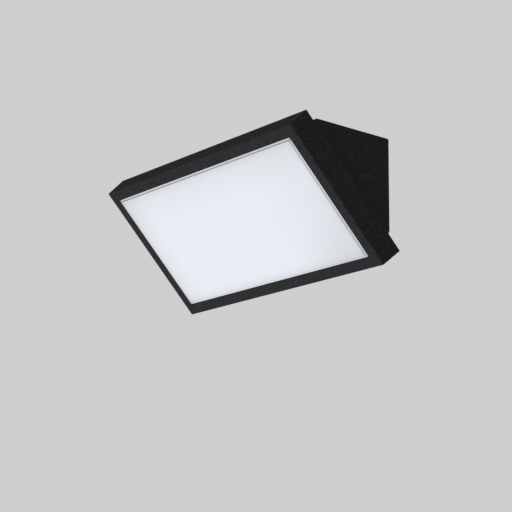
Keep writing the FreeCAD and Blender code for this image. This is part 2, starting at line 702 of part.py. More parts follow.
# ---------------------------------------------------------------- cable entry and vent
def cable_grommet():
    outer = [
        cylinder(GROMMET_FLANGE, (0, POCKET_FLOOR_Y, 0), (0, POCKET_FLOOR_Y + 2.2, 0)),
        cylinder(GROMMET_NECK, (0, CHAMBER_Y, 0), (0, POCKET_FLOOR_Y, 0)),
        cylinder(GROMMET_FLANGE - 1.2, (0, CHAMBER_Y - 2.0, 0), (0, CHAMBER_Y, 0)),
        Part.makeCone(GROMMET_FLANGE - 3.6, GROMMET_BORE + 1.6, 4.0, V(0, CHAMBER_Y - 2.0, 0), V(0, -1, 0)),
    ]
    body = outer[0].fuse(outer[1:]).removeSplitter()
    return body.cut(cylinder(GROMMET_BORE, (0, CHAMBER_Y - 7, 0), (0, POCKET_FLOOR_Y + 3, 0)))


def cable_clamp():
    face = CHAMBER_Y - CLAMP_POST
    bar = rounded_box((CLAMP_X - CLAMP_BAR, CLAMP_X + CLAMP_BAR), (face - CLAMP_BAR, face), (-13.0, 13.0), 1.5)
    saddle = cylinder(6.0, (CLAMP_X - 5, face + 4.5, 0), (CLAMP_X + 5, face + 4.5, 0))
    holes = [
        cylinder(M3 + 0.2, (CLAMP_X, face - 5, s * CLAMP_SCREW_Z), (CLAMP_X, face + 1, s * CLAMP_SCREW_Z))
        for s in (-1, 1)
    ]
    return bar.cut([saddle] + holes)


def cable_clamp_screws():
    seat = CHAMBER_Y - CLAMP_POST - CLAMP_BAR
    return [screw((CLAMP_X, seat, s * CLAMP_SCREW_Z), (0, 1, 0), M3, 12.0, 2.75, 1.8) for s in (-1, 1)]


def vent_plug():
    x, z = VENT_AT
    cap = cylinder(VENT_CAP, (x, POCKET_FLOOR_Y + 0.8, z), (x, POCKET_FLOOR_Y + 4.0, z))
    cap = round_edges(cap, 0.8, lambda e: abs(e.CenterOfMass.y - POCKET_FLOOR_Y - 4.0) < 1e-6)
    neck = cylinder(VENT_NECK, (x, CHAMBER_Y - 4.0, z), (x, POCKET_FLOOR_Y + 1.0, z))
    bore = cylinder(VENT_BORE, (x, CHAMBER_Y - 5.0, z), (x, POCKET_FLOOR_Y + 3.0, z))
    return cap.fuse(neck).removeSplitter().cut(bore)


def vent_seal():
    x, z = VENT_AT
    disc = cylinder(6.0, (x, POCKET_FLOOR_Y, z), (x, POCKET_FLOOR_Y + 0.8, z))
    return disc.cut(cylinder(VENT_NECK + 0.2, (x, POCKET_FLOOR_Y - 1, z), (x, POCKET_FLOOR_Y + 2, z)))


def vent_nut():
    x, z = VENT_AT
    nut = hexagon(6.4, 3.0)
    nut.Placement = FreeCAD.Placement(V(x, CHAMBER_Y, z), FreeCAD.Rotation(V(0, 0, -1), V(0, -1, 0)))
    return nut.cut(cylinder(VENT_NECK + 0.1, (x, CHAMBER_Y + 1, z), (x, CHAMBER_Y - 5, z)))


# ---------------------------------------------------------------- driver
def driver_case():
    x, y, z = DRIVER_X, DRIVER_Y, DRIVER_Z
    outer = rounded_box(x, (y[0] + DRIVER_LID, y[1]), z, 2.0)
    skin = DRIVER_SKIN
    inner = box((x[0] + skin, x[1] - skin), (y[0] - 1, y[1] - skin), (z[0] + skin, z[1] - skin))
    seat = CHAMBER_Y - FLOOR_BOSS
    middle = (z[0] + z[1]) / 2
    ears = box((x[0] - DRIVER_EAR, x[1] + DRIVER_EAR), (seat - 2.5, seat), (middle - 6, middle + 6))
    ears = ears.cut(inner)
    holes = [cylinder(M3 + 0.25, (a, seat - 4, b), (a, seat + 1, b)) for a, b in floor_screw_places()["driver"]]
    for height in SUPPLY_EXITS.values():
        holes.append(cylinder(LEAD_RADIUS + 0.3, (x[1] - 3, LEAD_Y, height), (x[1] + 1, LEAD_Y, height)))
    for height in LED_EXITS.values():
        holes.append(cylinder(LEAD_RADIUS + 0.3, (x[0] - 1, LEAD_Y, height), (x[0] + 3, LEAD_Y, height)))
    return outer.cut(inner).fuse(ears).removeSplitter().cut(holes)


def driver_lid():
    x, y, z = DRIVER_X, DRIVER_Y, DRIVER_Z
    skin = DRIVER_SKIN
    cover = rounded_box(x, (y[0], y[0] + DRIVER_LID), z, 2.0)
    plug = box((x[0] + skin + 0.2, x[1] - skin - 0.2), (y[0] + 1.5, y[0] + 3.6),
               (z[0] + skin + 0.2, z[1] - skin - 0.2))
    hollow = box((x[0] + skin + 1.4, x[1] - skin - 1.4), (y[0] + 1.6, y[0] + 4.0),
                 (z[0] + skin + 1.4, z[1] - skin - 1.4))
    return cover.fuse(plug).removeSplitter().cut(hollow)


def driver_board():
    x, y, z = DRIVER_X, DRIVER_Y, DRIVER_Z
    skin = DRIVER_SKIN
    back = y[1] - skin - 2.4
    board = box((x[0] + skin + 1, x[1] - skin - 1), (back - 1.6, back), (z[0] + skin + 1, z[1] - skin - 1))
    feet = [
        cylinder(1.5, (a, back, b), (a, y[1] - skin, b))
        for a in (x[0] + 6, x[1] - 6) for b in (z[0] + 6, z[1] - 6)
    ]
    return board.fuse(feet).removeSplitter()


def driver_parts():
    """Transformer, storage capacitor and choke, which stand on the driver's board."""
    face = DRIVER_Y[1] - DRIVER_SKIN - 4.0
    left, low = DRIVER_X[0], DRIVER_Z[0]
    transformer = rounded_box((left + 24, left + 42), (face - 11.5, face), (low + 7, low + 25), 1.0)
    capacitor = cylinder(5.0, (left + 54, face, low + 12), (left + 54, face - 11.0, low + 12))
    choke = cylinder(5.5, (left + 13, face, low + 16), (left + 13, face - 7.0, low + 16))
    choke = choke.cut(cylinder(2.0, (left + 13, face + 1, low + 16), (left + 13, face - 8.0, low + 16)))
    return [transformer, capacitor, choke]


def driver_screws():
    seat = CHAMBER_Y - FLOOR_BOSS - 2.5
    return [screw((x, seat, z), (0, 1, 0), M3, 8.0, 2.75, 1.8) for x, z in floor_screw_places()["driver"]]


# ---------------------------------------------------------------- terminal block
def terminal_block():
    body = rounded_box(TERMINAL_X, TERMINAL_Y, TERMINAL_Z, 1.0)
    lug_z = (TERMINAL_Z[0] + TERMINAL_Z[1]) / 2
    seat = CHAMBER_Y - FLOOR_BOSS
    lugs = box((TERMINAL_X[0] - TERMINAL_LUG, TERMINAL_X[1] + TERMINAL_LUG), (seat - 2.5, seat),
               (lug_z - 5, lug_z + 5))
    body = body.fuse(lugs).removeSplitter()
    screws = floor_screw_places()["terminal"]
    cuts = [cylinder(M3 + 0.25, (x, seat - 4, z), (x, seat + 1, z)) for x, z in screws]
    for _, x in POLES:
        reach = LEVER_HALF_WIDTH + 0.35
        cuts.append(box((x - reach, x + reach), (TERMINAL_Y[0] - 1, -26.0), (4.0, LEVER_PIVOT_Z + 2.0)))
        pin_reach = LEVER_HALF_WIDTH + 1.3
        cuts.append(cylinder(LEVER_PIN + LEVER_PIN_PLAY, (x - pin_reach, LEVER_PIVOT_Y, LEVER_PIVOT_Z),
                             (x + pin_reach, LEVER_PIVOT_Y, LEVER_PIVOT_Z)))
        cuts.append(box((x - 3.1, x + 3.1), (-24.1, -17.9), (3.9, 22.1)))
        cuts.append(cylinder(1.9, (x, LEAD_ENTRY_Y, TERMINAL_Z[0] - 1), (x, LEAD_ENTRY_Y, TERMINAL_Z[1] + 1)))
    return body.cut(cuts)


def terminal_contacts():
    """A folded copper contact in each pole, open to the wires that enter from both ends."""
    contacts = []
    for _, x in POLES:
        cage = box((x - 3.0, x + 3.0), (-24.0, -18.0), (4.0, 22.0))
        way = box((x - 2.2, x + 2.2), (-23.2, -18.8), (3.0, 23.0))
        contacts.append(cage.cut(way))
    return contacts


def clamp_lever(x):
    """A lever that hangs closed on the terminal block's front and swings up about its pin."""
    half = LEVER_HALF_THICK
    low = LEVER_PIVOT_Z - LEVER_LENGTH
    arm = box((x - LEVER_HALF_WIDTH, x + LEVER_HALF_WIDTH),
              (LEVER_PIVOT_Y - half, LEVER_PIVOT_Y + half), (low, LEVER_PIVOT_Z))
    tip = round_edges(arm, 0.8, lambda e: along(e, 0) and e.CenterOfMass.z < low + 0.1)
    knuckle = cylinder(half, (x - LEVER_HALF_WIDTH, LEVER_PIVOT_Y, LEVER_PIVOT_Z),
                       (x + LEVER_HALF_WIDTH, LEVER_PIVOT_Y, LEVER_PIVOT_Z))
    reach = LEVER_HALF_WIDTH + 1.1
    pin = cylinder(LEVER_PIN, (x - reach, LEVER_PIVOT_Y, LEVER_PIVOT_Z),
                   (x + reach, LEVER_PIVOT_Y, LEVER_PIVOT_Z))
    grips = [
        box((x - 2.8, x + 2.8), (LEVER_PIVOT_Y - half - 1, LEVER_PIVOT_Y - half + 0.35),
            (low + 1.6 + 1.4 * i, low + 2.3 + 1.4 * i))
        for i in range(3)
    ]
    return tip.fuse([knuckle, pin]).removeSplitter().cut(grips)


def terminal_screws():
    seat = CHAMBER_Y - FLOOR_BOSS - 2.5
    return [screw((x, seat, z), (0, 1, 0), M3, 8.0, 2.75, 1.8) for x, z in floor_screw_places()["terminal"]]


# ---------------------------------------------------------------- earth point
def earth_washer():
    x, z = EARTH_AT
    face = CHAMBER_Y - FLOOR_BOSS
    disc = cylinder(4.2, (x, face - 0.8, z), (x, face, z))
    return disc.cut(cylinder(M4 + 0.15, (x, face - 2, z), (x, face + 1, z)))


def earth_tag():
    """A ring tag whose barrel points down at the end of the earth lead."""
    x, z = EARTH_AT
    back = CHAMBER_Y - FLOOR_BOSS - 0.8
    eye = cylinder(4.0, (x, back - 1.0, z), (x, back, z))
    neck = box((x - 1.6, x + 1.6), (back - 1.0, back), (z, z + 8.0))
    barrel = cylinder(1.9, (x, back - 1.2, z + 6.0), (x, back - 1.2, z + 12.0))
    hole = cylinder(M4 + 0.15, (x, back - 2, z), (x, back + 1, z))
    bore = cylinder(LEAD_RADIUS, (x, back - 1.2, z + 8.0), (x, back - 1.2, z + 13.0))
    return eye.fuse([neck, barrel]).removeSplitter().cut([hole, bore])


def earth_screw():
    x, z = EARTH_AT
    return screw((x, CHAMBER_Y - FLOOR_BOSS - 1.8, z), (0, 1, 0), M4, 7.0, 3.6, 2.2)


# ---------------------------------------------------------------- leads inside the housing
def supply_lead(pole, turn_x, height):
    """From the terminal block's top over to the driver's right-hand end, where it goes in."""
    pole_x = dict(POLES)[pole]
    exit_z = SUPPLY_EXITS[pole]
    return bent_tube(
        [
            (pole_x, LEAD_ENTRY_Y, TERMINAL_Z[1] - 1.5),
            (pole_x, LEAD_ENTRY_Y, height),
            (pole_x - 14.0, LEAD_ENTRY_Y - 4.0, height),
            (turn_x, LEAD_Y, height - 4.0),
            (turn_x, LEAD_Y, exit_z),
            (DRIVER_X[1] - LEAD_IN_CASE, LEAD_Y, exit_z),
        ],
        LEAD_RADIUS,
    )


def earth_lead():
    """From the terminal block's top to the barrel of the ring tag."""
    pole_x = dict(POLES)["earth"]
    x, z = EARTH_AT
    tag_y = CHAMBER_Y - FLOOR_BOSS - 2.0
    return bent_tube(
        [
            (pole_x, LEAD_ENTRY_Y, TERMINAL_Z[1] - 1.5),
            (pole_x, LEAD_ENTRY_Y, 33.0),
            (x, tag_y, 33.0),
            (x, tag_y, z + 8.0),
        ],
        LEAD_RADIUS,
    )


def led_lead(pole, offset):
    """From the back of the board connector to the driver's left-hand end, where it goes in."""
    exit_z = LED_EXITS[pole]
    start = leaned_point(CONNECTOR_X + offset, CONNECTOR_BACK, BOARD_ROWS[1])
    out = leaned_point(CONNECTOR_X + offset, CONNECTOR_BACK + 9.0, BOARD_ROWS[1])
    end = (DRIVER_X[0] + LEAD_IN_CASE, LEAD_Y, exit_z)
    return bent_tube([tuple(start), tuple(out), (out.x, LEAD_Y, exit_z), end], LEAD_RADIUS)


# ---------------------------------------------------------------- all pieces
def all_pieces():
    pieces = {
        "front_frame": front_frame(),
        "frame_screws": frame_screws(),
        "diffuser": diffuser(),
        "diffuser_seal": diffuser_seal(),
        "reflector": reflector(),
        "led_tray": led_tray(),
        "led_tray_screws": tray_screws(),
        "led_chips": led_chips(),
        "led_board_screws": board_screws(),
        "led_board_links": board_links(),
        "led_board_connector": board_connector(),
        "housing": housing(),
        "wall_gasket": wall_gasket(),
        "wall_bracket": wall_bracket(),
        "lock_screws": lock_screws(),
        "lock_screw_washers": lock_washers(),
        "cable_grommet": cable_grommet(),
        "cable_clamp": cable_clamp(),
        "cable_clamp_screws": cable_clamp_screws(),
        "vent_plug": vent_plug(),
        "vent_seal": vent_seal(),
        "vent_nut": vent_nut(),
        "driver_case": driver_case(),
        "driver_lid": driver_lid(),
        "driver_board": driver_board(),
        "driver_parts": driver_parts(),
        "driver_screws": driver_screws(),
        "terminal_block": terminal_block(),
        "terminal_contacts": terminal_contacts(),
        "terminal_screws": terminal_screws(),
        "earth_washer": earth_washer(),
        "earth_tag": earth_tag(),
        "earth_screw": earth_screw(),
        "live_lead": supply_lead("live", -12.0, 30.0),
        "neutral_lead": supply_lead("neutral", -17.0, 34.0),
        "earth_lead": earth_lead(),
        "led_plus_lead": led_lead("plus", -1.8),
        "led_minus_lead": led_lead("minus", 1.8),
    }
    for row, name in zip(BOARD_ROWS, ("bottom", "middle", "top")):
        pieces[f"led_board_{name}"] = led_board(row)
    for name, x in POLES:
        pieces[f"clamp_lever_{name}"] = clamp_lever(x)
    return pieces


def main():
    os.makedirs("parts", exist_ok=True)
    for name, piece in all_pieces().items():
        solids = piece if isinstance(piece, list) else [piece]
        solids = [s for shape in solids for s in shape.Solids]
        shape = solids[0] if len(solids) == 1 else Part.makeCompound(solids)
        if not shape.isValid():
            raise ValueError(f"{name} isn't a valid solid")
        shape.exportStep(f"parts/{name}.step")
        size = shape.BoundBox
        print(f"{name:22s} {len(solids):3d} solids {size.XLength:7.1f} {size.YLength:7.1f} {size.ZLength:7.1f}"
              f" volume {shape.Volume:10.1f}")


main()
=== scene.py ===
"""Looks of a wedge-shaped LED wall pack light, laid over its packed CAD frame.

Lengths are in metres. X runs along the light, the wall is the plane y = 0 with the light in front of it, and
Z is up. What belongs to the window is worked out upright, as X, the depth behind the front face and the
height up it, and leans forward by TILT about the face's bottom edge.
"""

import json
import math
from typing import NamedTuple

import bpy
from mathutils import Matrix, Vector


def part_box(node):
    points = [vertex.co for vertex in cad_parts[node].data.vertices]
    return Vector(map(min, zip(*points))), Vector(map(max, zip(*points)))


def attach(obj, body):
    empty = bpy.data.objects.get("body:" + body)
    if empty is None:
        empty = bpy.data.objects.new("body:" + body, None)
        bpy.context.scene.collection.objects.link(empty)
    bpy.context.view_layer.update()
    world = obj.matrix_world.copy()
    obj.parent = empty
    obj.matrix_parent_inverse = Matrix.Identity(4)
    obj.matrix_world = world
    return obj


bl_info = {
    "name": "Wall pack light",
    "version": (1, 0, 0),
    "blender": (4, 5, 0),
    "location": "View3D > Sidebar > Wall pack",
    "description": "Finishes and small parts of a wedge-shaped LED wall light, and its stage",
    "category": "Object",
}

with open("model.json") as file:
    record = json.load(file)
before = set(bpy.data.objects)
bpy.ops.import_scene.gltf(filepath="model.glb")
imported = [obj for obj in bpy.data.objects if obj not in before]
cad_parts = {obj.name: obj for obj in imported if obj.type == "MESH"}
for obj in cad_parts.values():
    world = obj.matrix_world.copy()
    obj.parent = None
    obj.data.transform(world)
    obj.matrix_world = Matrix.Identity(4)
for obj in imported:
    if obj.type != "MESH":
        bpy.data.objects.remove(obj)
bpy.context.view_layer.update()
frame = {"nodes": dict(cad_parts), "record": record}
NODES = frame["nodes"]
SLOT_COLORS = {entry["slot"]: tuple(entry["base_color"]) for entry in frame["record"]["materials"]}

MM = 0.001
TILT = math.radians(41.0)
FACE_CORNER = Vector((0.0, -17.547 * MM, -70.653 * MM))   # middle of the front face's bottom edge
WINDOW_HALF = 138.75 * MM             # half the window's width
WINDOW_LOW = 10.6 * MM                # the window's lower and upper edges, up the front face
WINDOW_HIGH = 127.65 * MM
WINDOW_BACK = (2.5 * MM, 4.0 * MM)    # depths between which the window's glow ends
RIM_REACH = 10.0 * MM                 # how far the window's quick fall of light reaches in from its edges
CORNER_LOSS = 0.17                    # share of the glow that the lower right corner loses

BOARD_THICKNESS = 1.6 * MM
BOARD_FACE = 24.8 * MM - BOARD_THICKNESS          # the boards' front, which lie on the LED tray
BOARD_ROWS = (42.5 * MM, 69.5 * MM, 96.5 * MM)
BOARD_GAP = BOARD_ROWS[1] - BOARD_ROWS[0]
COPPER_HALF = 6.4 * MM                # half the width of a board's copper
TRACK_HALF = 2.3 * MM                 # and of the track that joins its chips
TRACK_GAP_HALF = 0.5 * MM             # under each chip
RAIL_AT = 4.9 * MM                    # from the chips' row to the rails beside it
RAIL_WIDTH = 1.5 * MM
PAD_HALF_LENGTH = 2.75 * MM
PAD_HALF_WIDTH = 1.3 * MM
CHIP_PITCH = 18.0 * MM
CHIPS_PER_BOARD = 12
CHIP_SIDE = 3.5 * MM
PHOSPHOR_RADIUS = 1.33 * MM

GRID = 2.54 * MM                      # hole spacing of the driver's board
RING_RADIUS = 0.75 * MM               # solder ring round a hole
HOLE_RADIUS = 0.32 * MM
CHOKE_RADIUS = 5.5 * MM
CHOKE_HOLE = 2.0 * MM
CHOKE_HEIGHT = 7.0 * MM
CHOKE_RISE = 9.0 * MM                 # from the lowest of the driver's parts up to the choke's centre
CHOKE_END = 13.5 * MM                 # from the left of the parts to the gap beside the choke
CAPACITOR_RADIUS = 5.0 * MM
CAPACITOR_START = 12.0 * MM           # from the right of the parts to the gap beside the capacitor
SOFT_STEP = 0.1 * MM                  # over which one part's finish gives way to the next one's
TAPE_WIDTH = 3.0 * MM
STRIPE_WIDTH = 3.0 * MM
BAND_PITCH = 3.2 * MM                 # of a two-coloured lead's bands

GROMMET_FACE = -9.8 * MM              # the grommet's wall-side face
LOCK_X = 50.0 * MM                    # the lock screws stand at this distance on both sides of the middle
LOCK_Y = -8.2 * MM
LOCK_THREAD = (23.6 * MM, 33.6 * MM)  # lower and upper end of the lock screws' threads

# colours that the record has no slot for
DARK = (0.0, 0.0, 0.0)
BOARD_CORE = ((0.66, 0.67, 0.68), (0.80, 0.80, 0.80))
BARE_PAD = (0.78, 0.76, 0.70)
CHIP_BODY = (0.84, 0.84, 0.82)
CHIP_GLOW = (0.10, 0.09, 0.05)
TINNED_PAD = (0.72, 0.70, 0.64)
DRILLED_HOLE = (0.05, 0.05, 0.04)
TAPE = (0.62, 0.44, 0.05)
TAPE_EDGE = (0.42, 0.28, 0.03)
SLEEVE_STRIPE = (0.42, 0.43, 0.44)
FERRITE = (0.10, 0.10, 0.095)
EARTH_YELLOW = (0.80, 0.62, 0.03)
EARTH_GREEN = (0.02, 0.22, 0.04)

FLOOR_REACH = 30.0
FLOOR_GREY = 0.35                     # of the floor's paint; the rest of its level is its own light
FLOOR_BOUNCE = 0.6                    # share of the ambient light that the floor gives back upwards
LAMP_AIM = Vector((0.0, -0.05, -0.01))
SENSOR_WIDTH = 36.0                   # in millimetres, as cameras state it
CLIP_RANGE = (0.05, 100.0)


# ---------------------------------------------------------------- node trees
class Value:
    """A socket of a node tree. Arithmetic on it adds Math nodes."""

    def __init__(self, graph, socket):
        self.graph = graph
        self.socket = socket

    def math(self, operation, *others):
        return self.graph.node("ShaderNodeMath", {"operation": operation}, [self, *others])

    def __add__(self, other):
        return self.math("ADD", other)

    __radd__ = __add__

    def __sub__(self, other):
        return self.math("SUBTRACT", other)

    def __rsub__(self, other):
        return self.graph.node("ShaderNodeMath", {"operation": "SUBTRACT"}, [other, self])

    def __mul__(self, other):
        return self.math("MULTIPLY", other)

    __rmul__ = __mul__

    def __truediv__(self, other):
        return self.math("DIVIDE", other)

    def __pow__(self, other):
        return self.math("POWER", other)

    def __neg__(self):
        return self * -1.0

    def __abs__(self):
        return self.math("ABSOLUTE")

    def __mod__(self, other):
        return self.math("FLOORED_MODULO", other)

    def __gt__(self, other):
        return self.math("GREATER_THAN", other)

    def most(self, other):
        return self.math("MAXIMUM", other)

    def sine(self):
        return self.math("SINE")

    def ramp(self, low, high):
        """0 below low, 1 above high and smooth between them."""
        return self.graph.node(
            "ShaderNodeMapRange", {"interpolation_type": "SMOOTHSTEP"},
            {"Value": self, "From Min": low, "From Max": high},
        )

    def within(self, reach, soft):
        """1 up to a value, falling smoothly to 0 over the stretch after it."""
        return 1.0 - self.ramp(reach, reach + soft)

    def line(self, centre, width):
        """1 at a value, falling to 0 half a width away on both sides."""
        return abs(self - centre).within(0.0, width / 2)

    def sway(self, spread):
        """A value from 0 to 1 spread evenly about 0."""
        return (self - 0.5) * spread


class Graph:
    """Adds nodes to a tree and links them."""

    def __init__(self, tree):
        self.tree = tree

    def node(self, kind, settings=None, inputs=None, output=0):
        """One node. settings are its properties; inputs is a list or goes by name."""
        made = self.tree.nodes.new(kind)
        for name, value in (settings or {}).items():
            setattr(made, name, value)
        pairs = inputs.items() if isinstance(inputs, dict) else enumerate(inputs or [])
        for key, value in pairs:
            self.put(made.inputs[key], value)
        return Value(self, made.outputs[output]) if made.outputs else None

    def put(self, socket, value):
        """Link a value to an input, or set it there."""
        if isinstance(value, Value):
            self.tree.links.new(value.socket, socket)
        elif socket.type == "RGBA" and len(value) == 3:
            socket.default_value = (*value, 1.0)
        else:
            socket.default_value = value


class Surface(Graph):
    """A material with one Principled shader."""

    def __init__(self, name):
        self.material = bpy.data.materials.new(name)
        self.material.use_nodes = True
        super().__init__(self.material.node_tree)
        self.shader = self.tree.nodes["Principled BSDF"]
        self.place = self.node("ShaderNodeTexCoord", output="Object")

    def stretched(self, x=1.0, y=1.0, z=1.0):
        """Object coordinates with each axis scaled."""
        return self.node("ShaderNodeMapping", None, {"Vector": self.place, "Scale": (x, y, z)})

    def upright(self):
        """Object coordinates turned to X, depth behind the front face and height up it, as a vector."""
        return self.node(
            "ShaderNodeMapping", {"vector_type": "TEXTURE"},
            {"Vector": self.place, "Location": FACE_CORNER, "Rotation": (TILT, 0.0, 0.0)},
        )

    def split(self, vector):
        """The three parts of a vector as values."""
        first = self.node("ShaderNodeSeparateXYZ", None, [vector])
        return [Value(self, output) for output in first.socket.node.outputs]

    def noise(self, size, detail=2.0, roughness=0.5, at=None):
        """Noise from 0 to 1 whose features are about the given size."""
        return self.node(
            "ShaderNodeTexNoise", None,
            {"Vector": at or self.place, "Scale": 1.0 / size, "Detail": detail, "Roughness": roughness},
        )

    def cells(self, size):
        """Distance from the nearest of scattered points, in cell sizes."""
        return self.node("ShaderNodeTexVoronoi", None, {"Vector": self.place, "Scale": 1.0 / size})

    def mix(self, factor, first, second):
        """A colour between two colours."""
        made = self.tree.nodes.new("ShaderNodeMix")
        made.data_type = "RGBA"
        sockets = {s.identifier: s for s in made.inputs}
        self.put(sockets["Factor_Float"], factor)
        self.put(sockets["A_Color"], first)
        self.put(sockets["B_Color"], second)
        return Value(self, next(s for s in made.outputs if s.identifier == "Result_Color"))

    def shades(self, factor, color, low, high):
        """A colour scaled between two levels."""
        return self.mix(factor, tuple(c * low for c in color), tuple(min(1.0, c * high) for c in color))

    def relief(self, height, depth):
        """Normals of a relief whose height runs from 0 to 1 over the given depth."""
        return self.node("ShaderNodeBump", None, {"Height": height, "Distance": depth, "Strength": 1.0})

    def finish(self, **sockets):
        """Set the shader's sockets; underscores in their names stand for spaces."""
        for name, value in sockets.items():
            self.put(self.shader.inputs[name.replace("_", " ")], value)
        return self.material


# ---------------------------------------------------------------- finishes
# Lengths are the sizes of grains, crystals and lines. A plain number is a texture's share of a mix, a limit
# of a ramp on a texture that runs from 0 to 1, or how far the tone or the roughness swings.
def powder_coat(name, color, roughness, grain, depth):
    """Fine sand-textured powder coat: packed grains under a slight, wider unevenness."""
    s = Surface(name)
    sand = s.noise(grain, roughness=0.65)
    pits = s.cells(grain * 1.7)
    patch = s.noise(grain * 3.2, roughness=0.6)
    wide = s.noise(grain * 14, detail=3.0)
    height = sand * 0.45 + pits * 0.25 + patch * 0.3
    tone = (sand * 0.35 + patch * 0.55 + wide * 0.1).ramp(0.36, 0.64)
    return s.finish(
        Base_Color=s.shades(tone, color, low=0.58, high=1.45),
        Roughness=roughness + wide.sway(0.16) + patch.sway(0.1),
        Normal=s.relief(height, depth),
        Specular_IOR_Level=0.02,
    )


class EdgeLight(NamedTuple):
    """Shares of the glow that the window loses at one of its edges."""

    line: float     # on the painted shadow line inside the rim
    rim: float      # at the edge itself, made up within RIM_REACH
    wide: float     # at the edge too, made up within the reach
    reach: float


def opal_window(name, color, glow, rim_width, shadow_line_width):
    """Opal plastic lit from behind.

    The light falls off towards the edges and is weakest at the lower right. A painted shadow line, a darker
    glow standing in for the shade of the tray's wall, goes round inside the rim, strongest along the top and
    the right.
    """
    s = Surface(name)
    x, depth, height = s.split(s.upright())
    bottom = height - WINDOW_LOW
    # the line shares set how dark the painted shadow line is at each edge, deepest along the top and the
    # right
    edges = (
        (WINDOW_HIGH - height, EdgeLight(line=0.84, rim=0.16, wide=0.12, reach=42 * MM)),
        (WINDOW_HALF - x, EdgeLight(line=0.48, rim=0.10, wide=0.08, reach=120 * MM)),
        (bottom, EdgeLight(line=0.24, rim=0.15, wide=0.03, reach=20 * MM)),
        (WINDOW_HALF + x, EdgeLight(line=0.10, rim=0.22, wide=0.12, reach=40 * MM)),
    )
    level = 1.0 + s.noise(30 * MM).sway(0.03)
    for inward, edge in edges:
        # painted shadow: the glow darkens along a line inside the rim, standing in for the shade of the
        # tray's wall
        level = level * (1.0 - edge.line * inward.line(rim_width, shadow_line_width))
        level = level * (1.0 - edge.rim * inward.within(0.0, RIM_REACH))
        level = level * (1.0 - edge.wide * inward.within(0.0, edge.reach))
    corner = (x / WINDOW_HALF - bottom / WINDOW_HIGH).ramp(0.2, 1.0)
    front = 1.0 - depth.ramp(*WINDOW_BACK)
    fine = s.noise(0.25 * MM)
    return s.finish(
        Base_Color=s.shades(fine, color, low=0.97, high=1.03),
        Emission_Color=s.mix(level * (1.0 - CORNER_LOSS * corner) * front, DARK, glow),
        Emission_Strength=1.0,
        Roughness=0.4 + fine.sway(0.12),
        Normal=s.relief(fine, 0.012 * MM),
    )


def plated_steel(name, color, roughness, dark=0.82):
    """Zinc plate: faint crystal clouds over drawn lines."""
    s = Surface(name)
    cloud = s.noise(3.5 * MM, detail=4.0, roughness=0.6)
    spangle = s.cells(1.8 * MM)
    drawn = s.noise(0.22 * MM, at=s.stretched(x=0.06))
    tone = (cloud * 0.6 + spangle * 0.4).ramp(0.2, 0.75)
    return s.finish(
        Base_Color=s.shades(tone, color, low=dark, high=1.12),
        Metallic=1.0,
        Roughness=roughness + cloud.sway(0.14) + drawn.sway(0.1),
        Normal=s.relief(drawn * 0.7 + cloud * 0.3, 0.008 * MM),
    )


def brushed_sheet(name, color, roughness):
    """Rolled aluminium with lines along X."""
    s = Surface(name)
    lines = s.noise(0.18 * MM, detail=3.0, roughness=0.6, at=s.stretched(x=0.015))
    cloud = s.noise(14 * MM, detail=3.0)
    tone = (lines * 0.5 + cloud * 0.5).ramp(0.25, 0.75)
    return s.finish(
        Base_Color=s.shades(tone, color, low=0.88, high=1.08),
        Metallic=1.0,
        Roughness=roughness + lines.sway(0.2),
        Normal=s.relief(lines, 0.01 * MM),
    )


def moulded(name, color, roughness, grain, depth):
    """Moulded plastic with a fine spark-eroded grain."""
    s = Surface(name)
    fine = s.noise(grain, detail=3.0, roughness=0.55)
    flow = s.noise(grain * 40)
    tone = (fine * 0.35 + flow * 0.65).ramp(0.25, 0.75)
    return s.finish(
        Base_Color=s.shades(tone, color, low=0.9, high=1.07),
        Roughness=roughness + fine.sway(0.12) + flow.sway(0.08),
        Normal=s.relief(fine * 0.8 + flow * 0.2, depth),
    )


def soft_rubber(name, color, roughness):
    """Moulded rubber or silicone: matt, a little dusty, with a soft mould texture."""
    s = Surface(name)
    skin = s.noise(0.35 * MM, detail=3.0, roughness=0.6)
    dust = s.noise(4 * MM, detail=4.0, roughness=0.7)
    tone = (dust * 0.7 + skin * 0.3).ramp(0.35, 0.75)
    return s.finish(
        Base_Color=s.shades(tone, color, low=0.85, high=1.35),
        Roughness=roughness + dust.sway(0.12),
        Normal=s.relief(skin, 0.02 * MM),
        Specular_IOR_Level=0.3,
    )


def closed_foam(name, color):
    """Closed-cell foam strip: small open cells in its cut faces, with painted shade darkening the cells'
    hollows.
    """
    s = Surface(name)
    cell = s.cells(0.7 * MM)
    fine = s.cells(0.32 * MM)
    height = cell.ramp(0.05, 0.6) * 0.7 + fine.ramp(0.1, 0.7) * 0.3
    return s.finish(
        # painted shade: the colour darkens with the relief, deepest in the cells' hollows
        Base_Color=s.shades(height, color, low=0.45, high=1.4),
        Roughness=0.9,
        Normal=s.relief(height, 0.14 * MM),
        Specular_IOR_Level=0.2,
    )


def gloss_paint(name, color, roughness):
    """Baked white paint with a slight orange peel."""
    s = Surface(name)
    peel = s.noise(1.1 * MM, roughness=0.4)
    dust = s.noise(0.3 * MM, detail=1.0)
    return s.finish(
        Base_Color=s.shades(peel, color, low=0.96, high=1.03),
        Roughness=roughness + peel.sway(0.1) + dust.sway(0.05),
        Normal=s.relief(peel * 0.8 + dust * 0.2, 0.02 * MM),
        Coat_Weight=0.25,
    )


def from_chip(s):
    """A point's depth, and how far along X and up the face it lies from the middle of the nearest chip."""
    x, depth, height = s.split(s.upright())
    across = x % CHIP_PITCH - CHIP_PITCH / 2
    up = (height - BOARD_ROWS[0] + BOARD_GAP / 2) % BOARD_GAP - BOARD_GAP / 2
    return depth, across, up


